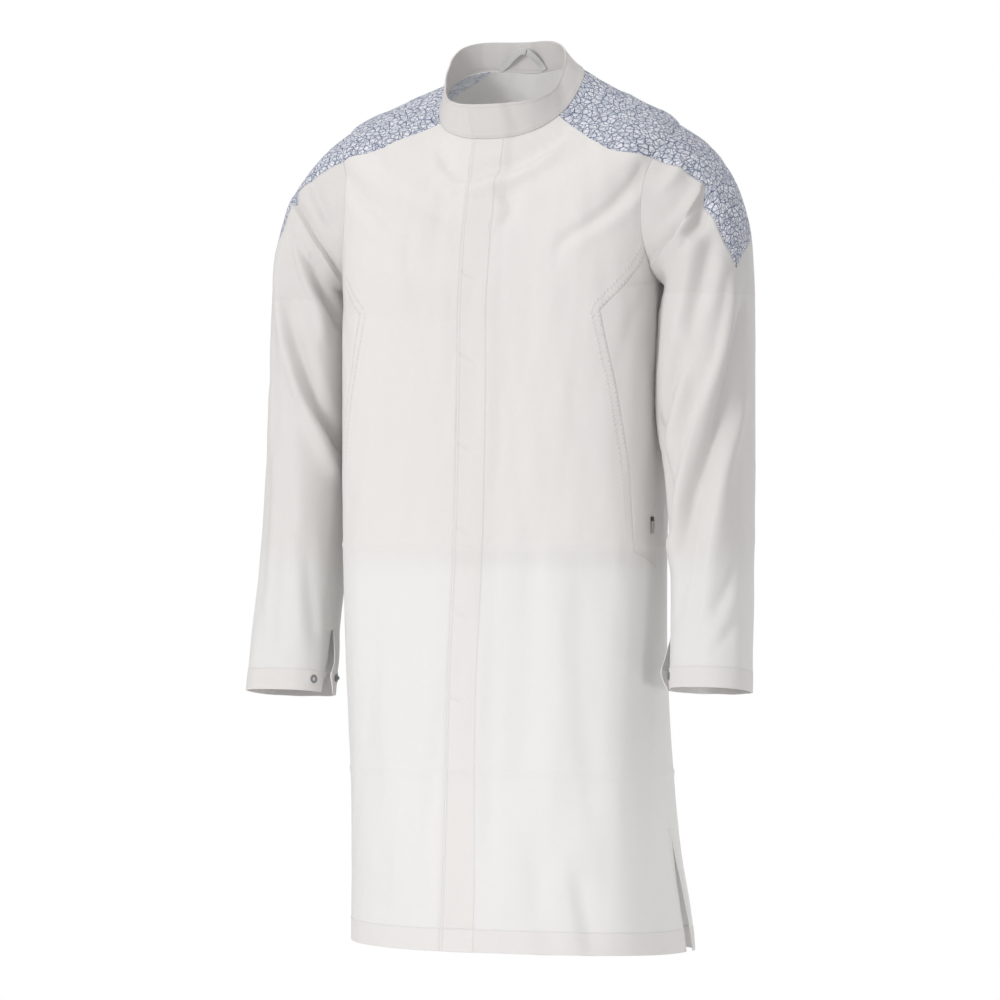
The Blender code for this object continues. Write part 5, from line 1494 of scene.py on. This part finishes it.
# Distances from a line, in metres, over which each of its marks begins or ends.
GAP_ENDS, BEAD_STARTS, BEAD_ENDS = (0.0001, 0.0009), (0.0005, 0.0013), (0.0016, 0.0032)
GROOVE_ENDS, PULL_ENDS = (0.0002, 0.0012), (0.0006, 0.0026)
# Painted shade of a seam's gap and a row's groove, painted highlight of a bead and a pucker's pull, and
# the height of each against the weave's.
GAP_PAINTED_SHADE, GROOVE_PAINTED_SHADE, BEAD_PAINTED_HIGHLIGHT, PULL_PAINTED_HIGHLIGHT = 0.12, 0.09, 0.04, 0.03
GAP_DEEP, GROOVE_DEEP, BEAD_HIGH, PULL_HIGH = 0.5, 3.0, 1.5, 6.0


def rgb(red, green, blue):
    """Linear colour from its 0 to 255 screen values."""
    return tuple(((v / 255 + 0.055) / 1.055) ** 2.4 if v > 10 else v / 255 / 12.92
                 for v in (red, green, blue)) + (1.0,)


def twill_height(surface, across, up):
    """Weave of a twill: slanting wales broken by the yarns that cross them."""
    wale = surface.wave(across + up * 0.62, WALE)
    yarn = surface.wave(up - across * 0.25, WALE * 0.52)
    return wale * 0.6 + yarn * 0.25


def yarn_marks(surface, across, up):
    """Uneven yarns, as light and dark flecks along both directions."""
    weft = surface.noise(surface.join(across * 90.0, up * 2400.0), 1.0, 2.0)
    warp = surface.noise(surface.join(across * 2400.0, up * 90.0, 3.0), 1.0, 2.0)
    return weft + warp - 1.0


def sewn_marks(surface):
    """Painted shade in seams and stitched rows, painted highlight on beads and puckers, and their
    height, from the marks of the cloth.
    """
    seam, stitch, run = surface.mark("seam"), surface.mark("stitch"), surface.mark("run")
    gap = 1.0 - surface.step(seam, *GAP_ENDS)
    bead = surface.step(seam, *BEAD_STARTS) * (1.0 - surface.step(seam, *BEAD_ENDS))
    groove = 1.0 - surface.step(stitch, *GROOVE_ENDS)
    drift = surface.noise(surface.join(run, 0.0), 60.0, 2.0) - 0.5
    pucker = surface.wave(run + drift * PUCKER_DRIFT, PUCKER_PITCH) * surface.mark("pucker")
    pull = pucker * (1.0 - surface.step(stitch, *PULL_ENDS))
    # dark is painted shade in gaps and grooves, less painted highlight on beads and puckers
    dark = gap * GAP_PAINTED_SHADE + groove * GROOVE_PAINTED_SHADE - bead * BEAD_PAINTED_HIGHLIGHT - pull * PULL_PAINTED_HIGHLIGHT
    return dark, bead * BEAD_HIGH - groove * GROOVE_DEEP - gap * GAP_DEEP + pull * PULL_HIGH


def white_twill(name, dim=1.0):
    """White twill; doubled cloth looks a little warmer, and the upper front is painted a warmer, darker
    white as shade.
    """
    surface = Surface(name, Sheen_Weight=0.12, Sheen_Roughness=0.45, Specular_IOR_Level=0.25)
    across, up, _ = surface.split(surface.cloth())
    marks = yarn_marks(surface, across, up)
    dark, relief = sewn_marks(surface)
    cloud = surface.noise(surface.place(), 5.0, 4.0) - 0.5
    _, y, z = surface.split(surface.place())
    # painted shade: the upper front is tinted towards the warmer, darker white, for the dimmer, warmer
    # light on it
    above = surface.step(z, *UPPER_SHADE_DOWN) * (1.0 - surface.step(y, *UPPER_SHADE_BACK))
    warm = surface.mark("double") * DOUBLE_WARM + above * UPPER_SHADE_WARM + cloud * CLOUD_WARM
    warm = warm.maths("MAXIMUM", 0.0).maths("MINIMUM", 1.0)
    cool, tint = (rgb(*(v * dim for v in tone)) for tone in (COOL_WHITE, WARM_WHITE))
    colour = surface.mix(warm, cool, tint)
    # dark carries the painted shade and painted highlight of seams, rows and puckers into the white
    light = marks * 0.5 + cloud * 0.5 + 0.5 - dark * 3.0
    shade = surface.mix(light, (0.90, 0.90, 0.90, 1), (1, 1, 1, 1))
    colour = surface.node("ShaderNodeMix", {"data_type": "RGBA", "blend_type": "MULTIPLY"},
                          {0: 1.0, 6: colour, 7: shade}, 2)
    height = twill_height(surface, across, up) + marks * 0.5 + cloud * 1.5 + relief
    return surface.finish(colour, marks * 0.06 + 0.82, height, WEAVE_DEEP)


# The three sets of lines in the print: cells a metre and width of the line in metres.
PRINT_LINES = ((112.0, 0.00054), (138.0, 0.00046), (176.0, 0.00040))


def print_mark(surface, vector, scale, wide):
    """Thin uneven lines between cells, 1 on a line and 0 off it."""
    edge = surface.node("ShaderNodeTexVoronoi",
                        {"feature": "DISTANCE_TO_EDGE", "voronoi_dimensions": "2D"},
                        {"Vector": vector, "Scale": scale, "Randomness": 1.0})
    return 1.0 - surface.step(edge / scale, wide * 0.5, wide)


def printed_twill(name, faint=0.0):
    """White twill with a blue print of crossing broken cells; faint is its reverse."""
    surface = Surface(name, Sheen_Weight=0.10, Sheen_Roughness=0.45, Specular_IOR_Level=0.25)
    across, up, _ = surface.split(surface.cloth())
    marks = yarn_marks(surface, across, up)
    drift = surface.noise(surface.join(across, up), 90.0, 2.0) - 0.5
    other = surface.noise(surface.join(across, up, 4.0), 90.0, 2.0) - 0.5
    bent_across, bent_up = across + drift * 0.0012, up + other * 0.0012
    sheets = (surface.join(bent_across, bent_up * 0.8),
              surface.join(bent_across * 0.75 + bent_up * 0.6 + 3.0, bent_up * 0.7 - bent_across * 0.5),
              surface.join(bent_up * 0.9 + 7.0, bent_across * 1.1 + bent_up * 0.3))
    one, two, three = (print_mark(surface, sheet, *line) for sheet, line in zip(sheets, PRINT_LINES))
    gaps = surface.step(surface.noise(surface.join(across, up, 9.0), 150.0, 2.0), 0.36, 0.46)
    ink = one.maths("MAXIMUM", two * gaps).maths("MAXIMUM", three * (1.0 - gaps * 0.45))
    ink = ink * (marks * 0.25 + 0.92)
    haze = surface.step(surface.noise(surface.join(across, up, 5.0), 70.0, 2.0), 0.42, 0.60)
    ground = surface.mix(haze, rgb(230, 232, 238), rgb(206, 211, 220))
    colour = surface.mix(ink * (1.0 - faint), ground, rgb(50, 58, 106))
    _, relief = sewn_marks(surface)
    height = twill_height(surface, across, up) + marks * 0.5 + relief
    return surface.finish(colour, marks * 0.05 + 0.80, height, WEAVE_DEEP)


def tape_material(name):
    """Woven tape with a fine herringbone."""
    surface = Surface(name, Sheen_Weight=0.1, Specular_IOR_Level=0.3)
    across, up, _ = surface.split(surface.cloth())
    rib = surface.wave(across.maths("ABSOLUTE") + up, 0.0009)
    edge = surface.wave(across, 0.0005)
    colour = surface.mix(rib * 0.5 + 0.5, rgb(214, 214, 210), rgb(236, 236, 232))
    return surface.finish(colour, rib * 0.05 + 0.7, rib + edge * 0.4, 0.00012)


def tab_material(name):
    """Plain grey ribbon, dark at its top, with a thin darker line down its middle."""
    surface = Surface(name, Specular_IOR_Level=0.35)
    across, up, _ = surface.split(surface.cloth())
    rib = surface.wave(up, 0.0006)
    line = 1.0 - surface.step(across.maths("ABSOLUTE"), 0.0003, 0.0008)
    light = surface.mix(line, rgb(190, 190, 188), rgb(118, 118, 116))
    top = surface.step(up, -0.0056, -0.0050)
    return surface.finish(surface.mix(top, light, rgb(52, 48, 44)), rib * 0.05 + 0.6, rib, 0.0001)


def thread_material(name, colour):
    """Sewing thread: a slight sheen, twisted along its length."""
    surface = Surface(name, Sheen_Weight=0.2, Specular_IOR_Level=0.45)
    twist = surface.noise(surface.place(), 1400.0, 2.0)
    tint = surface.mix(twist, tuple(c * 0.86 for c in colour[:3]) + (1,), colour)
    return surface.finish(tint, twist * 0.1 + 0.5)


def steel_material(name):
    """Snap metal, dulled and lightly marked."""
    surface = Surface(name, Metallic=1.0)
    grain = surface.noise(surface.place(), 900.0, 4.0)
    marks = surface.noise(surface.place(), 3500.0, 2.0)
    colour = surface.mix(grain, rgb(116, 119, 124), rgb(168, 171, 176))
    return surface.finish(colour, grain * 0.2 + 0.24, marks, 0.00002)


def floor_material(name):
    """Plain matt floor, nearly white."""
    surface = Surface(name, Specular_IOR_Level=0.2)
    cloud = surface.noise(surface.place(), 1.5, 2.0)
    colour = surface.mix(cloud, rgb(243, 243, 243), rgb(250, 250, 250))
    return surface.finish(colour, cloud * 0.05 + 0.85)


# Outside and inside of each kind of cloth, and the thread: maker, name and what it takes.
PAINT_KINDS = {
    "white": ((white_twill, "white twill"), (white_twill, "white twill inside", 0.985)),
    # painted shade: the sleeves' outside is painted a little darker for the shade on the arms
    "sleeve": ((white_twill, "white twill sleeve", 0.97), (white_twill, "sleeve inside", 0.985)),
    # painted shade: the collar and its lining are painted darker for the shade round the neck
    "collar": ((white_twill, "white twill collar", 0.955), (white_twill, "collar lining", 0.93)),
    "print": ((printed_twill, "printed twill"), (printed_twill, "printed twill inside", 0.62)),
    "thread": ((thread_material, "white thread", rgb(238, 238, 234)),),
    "green": ((thread_material, "green thread", rgb(38, 62, 48)),),
    "tape": ((tape_material, "white tape"),),
    "tab": ((tab_material, "tab ribbon"),),
}
PAINTS = {}


def paints_of(kind):
    """Materials of a kind of cloth, made once."""
    if kind not in PAINTS:
        PAINTS[kind] = tuple(make(*given) for make, *given in PAINT_KINDS[kind])
    return PAINTS[kind]


def hung(obj, node):
    """Hides the node of the frame that a piece stands for; the piece is not used."""
    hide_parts(node)


# ---------------------------------------------------------------- settings


class CoatSewing(bpy.types.PropertyGroup):
    pitch: FloatProperty(name="Stitch pitch", description="From one stitch to the next",
                         default=0.0029, unit="LENGTH", subtype="DISTANCE")
    thread: FloatProperty(name="Thread", description="Width of the thread as it lies",
                          default=0.00055, unit="LENGTH", subtype="DISTANCE")


class CoatStage(bpy.types.PropertyGroup):
    key: FloatProperty(name="Key light", description="Power of the soft light from the upper left",
                       default=86.0, unit="POWER")
    top: FloatProperty(name="Top light", description="Power of the soft light overhead",
                       default=15.0, unit="POWER")
    inner: FloatProperty(name="Light inside", description="Power of the light let through the cloth",
                         default=0.16, unit="POWER")
    behind: FloatProperty(name="Back light", description="Power of the soft light on the coat's back",
                          default=24.0, unit="POWER")
    fill: FloatProperty(name="Low light", description="Power of the soft light on the skirt's side",
                        default=0.28, unit="POWER")
    ambient: FloatProperty(name="Ambient", description="Strength of the even light all round",
                           default=0.63, min=0.0, subtype="FACTOR")
    floor: FloatProperty(name="Floor", description="Height of the floor under the coat",
                         default=-1.60, unit="LENGTH", subtype="DISTANCE")
    backdrop: FloatVectorProperty(name="Backdrop", description="Colour seen behind the coat",
                                  default=(1.0, 1.0, 1.0), subtype="COLOR")


# ---------------------------------------------------------------- operators


def both(cut, node, kind):
    """Cuts a piece for each side and hides the node of the frame that it stands for."""
    for word, side in SIDES:
        hung(cut(word, side, paints_of(kind)), node + word)
    return {"FINISHED"}


class COAT_OT_fronts(bpy.types.Operator):
    """Make the two fronts"""
    bl_idname = "coat.fronts"
    bl_label = "Fronts"

    def execute(self, context):
        return both(front_cloth, "front_", "white")


class COAT_OT_sides(bpy.types.Operator):
    """Make the insets under the arms"""
    bl_idname = "coat.sides"
    bl_label = "Side insets"

    def execute(self, context):
        return both(side_cloth, "side_", "white")


class COAT_OT_back(bpy.types.Operator):
    """Make the back"""
    bl_idname = "coat.back"
    bl_label = "Back"

    def execute(self, context):
        hung(back_cloth(paints_of("white")), "back")
        return {"FINISHED"}


class COAT_OT_yokes(bpy.types.Operator):
    """Make the printed shoulder yokes"""
    bl_idname = "coat.yokes"
    bl_label = "Yokes"

    def execute(self, context):
        return both(yoke_cloth, "yoke_", "print")


class COAT_OT_sleeves(bpy.types.Operator):
    """Make the sleeves with their open cuffs"""
    bl_idname = "coat.sleeves"
    bl_label = "Sleeves"

    def execute(self, context):
        return both(sleeve_cloth, "sleeve_", "sleeve")


class COAT_OT_collar(bpy.types.Operator):
    """Make the stand collar"""
    bl_idname = "coat.collar"
    bl_label = "Collar"

    def execute(self, context):
        hung(collar_cloth(paints_of("collar")), "collar")
        return {"FINISHED"}


class COAT_OT_tapes(bpy.types.Operator):
    """Make the hanger loop and the side tab"""
    bl_idname = "coat.tapes"
    bl_label = "Loop and tab"

    def execute(self, context):
        centre, normals = loop_run()
        across = unit(np.cross(normals, np.gradient(centre, axis=0))) * LOOP_WIDTH / 2
        loop = ribbon("hanger_loop_cloth", centre, across, normals, "white_tape", paints_of("tape")[0])
        hung(loop, "hanger_loop")
        centre, normals = tab_run()
        across = unit(np.cross(normals, np.array([0, 0, 1.0]))) * TAB_SIZE[0] / 2
        tab = ribbon("side_tab_cloth", centre, across, normals, "tab_cloth", paints_of("tab")[0])
        hung(tab, "side_tab")
        return {"FINISHED"}


class COAT_OT_sewing(bpy.types.Operator):
    """Sew the topstitched seams, hems and tacks"""
    bl_idname = "coat.sewing"
    bl_label = "Sewing"

    def execute(self, context):
        white, green = paints_of("thread")[0], paints_of("green")[0]
        sewn_fronts().build("thread_fronts", white)
        sewn_hems().build("thread_hems", white)
        sewn_loop().build("thread_loop", green)
        return {"FINISHED"}


class COAT_OT_metal(bpy.types.Operator):
    """Give the snaps of the frame their metal"""
    bl_idname = "coat.metal"
    bl_label = "Snaps"

    def execute(self, context):
        steel = steel_material("snap steel")
        for word, _ in SIDES:
            for kind in SNAP_KINDS:
                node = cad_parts[kind + word]
                node.data.materials.clear()
                node.data.materials.append(steel)
        return {"FINISHED"}


# The photographed view: degrees round to the wearer's left, metres away, and the pixels that
# a metre takes, across the picture, and between the origin and the picture's middle.
VIEW_ROUND, VIEW_AWAY, SENSOR = 20.0, 5.5, 36.0
VIEW_METRE, VIEW_WIDTH, VIEW_RIGHT, VIEW_UP = 830, 1000, -10, -395
FLOOR_REACH, FLOOR_SIDES = 3.0, 96


def view_axes():
    """Right, ahead and the middle of the picture for the photographed view."""
    turn = math.radians(VIEW_ROUND)
    right = Vector((math.cos(turn), math.sin(turn), 0))
    ahead = Vector((-math.sin(turn), math.cos(turn), 0))
    return right, ahead, right * (VIEW_RIGHT / VIEW_METRE) + Vector((0, 0, VIEW_UP / VIEW_METRE))


def add_floor(context, height):
    """Round floor under the coat, which is part of the stage only."""
    mesh = bpy.data.meshes.new("floor")
    angle = np.linspace(0, 2 * math.pi, FLOOR_SIDES + 1)[:-1]
    rim = [(FLOOR_REACH * math.cos(a), FLOOR_REACH * math.sin(a), height) for a in angle]
    mesh.from_pydata(rim, [], [list(range(FLOOR_SIDES))])
    mesh.materials.append(floor_material("floor"))
    floor = bpy.data.objects.new("floor", mesh)
    context.scene.collection.objects.link(floor)


def add_camera(context):
    """Camera at the photographed view."""
    _, ahead, target = view_axes()
    camera = bpy.data.cameras.new("camera")
    camera.sensor_width = SENSOR
    camera.lens = SENSOR * VIEW_AWAY * VIEW_METRE / VIEW_WIDTH
    viewer = bpy.data.objects.new("camera", camera)
    viewer.location = target - ahead * VIEW_AWAY
    viewer.rotation_euler = ahead.to_track_quat("-Z", "Y").to_euler()
    context.scene.collection.objects.link(viewer)
    context.scene.camera = viewer


def add_lights(context, settings):
    """Name, power, size, spread in degrees, place and aim of each soft light."""
    right, ahead, target = view_axes()
    up = Vector((0, 0, 1))
    for name, power, size, spread, spot, aim in (
            ("key", settings.key, 1.6, 180, target - right * 3.1 - ahead * 3.4 + up * 0.9, target),
            ("top", settings.top, 1.6, 180, target - ahead * 0.5 + up * 3.0, target),
            ("inner", settings.inner, 0.14, 180, up * -0.24, up * 0.1),
            ("behind", settings.behind, 1.2, 180,
             target + right * 2.4 + ahead * 3.4 + up * 0.6, target),
            ("fill", settings.fill, 0.8, 16,
             target + right * 2.3 - ahead * 3.0 - up * 0.7, target + right * 0.2 - up * 0.42)):
        light = bpy.data.lights.new(name, "AREA")
        light.energy, light.shape, light.size = power, "DISK", size
        light.spread = math.radians(spread)
        lamp = bpy.data.objects.new(name, light)
        lamp.location = spot
        lamp.rotation_euler = (aim - spot).to_track_quat("-Z", "Y").to_euler()
        context.scene.collection.objects.link(lamp)


def add_sky(context, settings):
    """Even light all round; the camera sees the backdrop at full strength."""
    world = bpy.data.worlds.new("studio")
    context.scene.world = world
    world.use_nodes = True
    tree = world.node_tree
    sky = tree.nodes["Background"]
    sky.inputs["Color"].default_value = (*settings.backdrop, 1.0)
    rays = tree.nodes.new("ShaderNodeLightPath")
    mix = tree.nodes.new("ShaderNodeMix")
    mix.inputs[2].default_value, mix.inputs[3].default_value = settings.ambient, 1.0
    tree.links.new(rays.outputs["Is Camera Ray"], mix.inputs[0])
    tree.links.new(mix.outputs[0], sky.inputs["Strength"])


class COAT_OT_stage(bpy.types.Operator):
    """Set the floor, the light and the camera"""
    bl_idname = "coat.stage"
    bl_label = "Stage"

    def execute(self, context):
        settings = context.scene.coat_stage
        add_floor(context, settings.floor)
        add_camera(context)
        add_lights(context, settings)
        add_sky(context, settings)
        context.scene.view_settings.view_transform = "Standard"
        return {"FINISHED"}


ORDER = (COAT_OT_fronts, COAT_OT_sides, COAT_OT_back, COAT_OT_yokes, COAT_OT_sleeves, COAT_OT_collar,
         COAT_OT_tapes, COAT_OT_sewing, COAT_OT_metal, COAT_OT_stage)


class COAT_PT_panel(bpy.types.Panel):
    """Pieces of the coat, in the order they are made"""
    bl_idname = "COAT_PT_panel"
    bl_label = "Work coat"
    bl_space_type = "VIEW_3D"
    bl_region_type = "UI"
    bl_category = "Work coat"

    def draw(self, context):
        for step in ORDER:
            self.layout.operator(step.bl_idname)
        for group in (context.scene.coat_sewing, context.scene.coat_stage):
            for name in group.__annotations__:
                self.layout.prop(group, name)


CLASSES = (CoatSewing, CoatStage, *ORDER, COAT_PT_panel)


def register():
    for cls in CLASSES:
        bpy.utils.register_class(cls)
    bpy.types.Scene.coat_sewing = PointerProperty(type=CoatSewing)
    bpy.types.Scene.coat_stage = PointerProperty(type=CoatStage)


def unregister():
    del bpy.types.Scene.coat_stage
    del bpy.types.Scene.coat_sewing
    for cls in reversed(CLASSES):
        bpy.utils.unregister_class(cls)


def main():
    register()
    for step in ORDER:
        getattr(bpy.ops.coat, step.bl_idname.split(".")[1])()


if __name__ == "__main__":
    main()
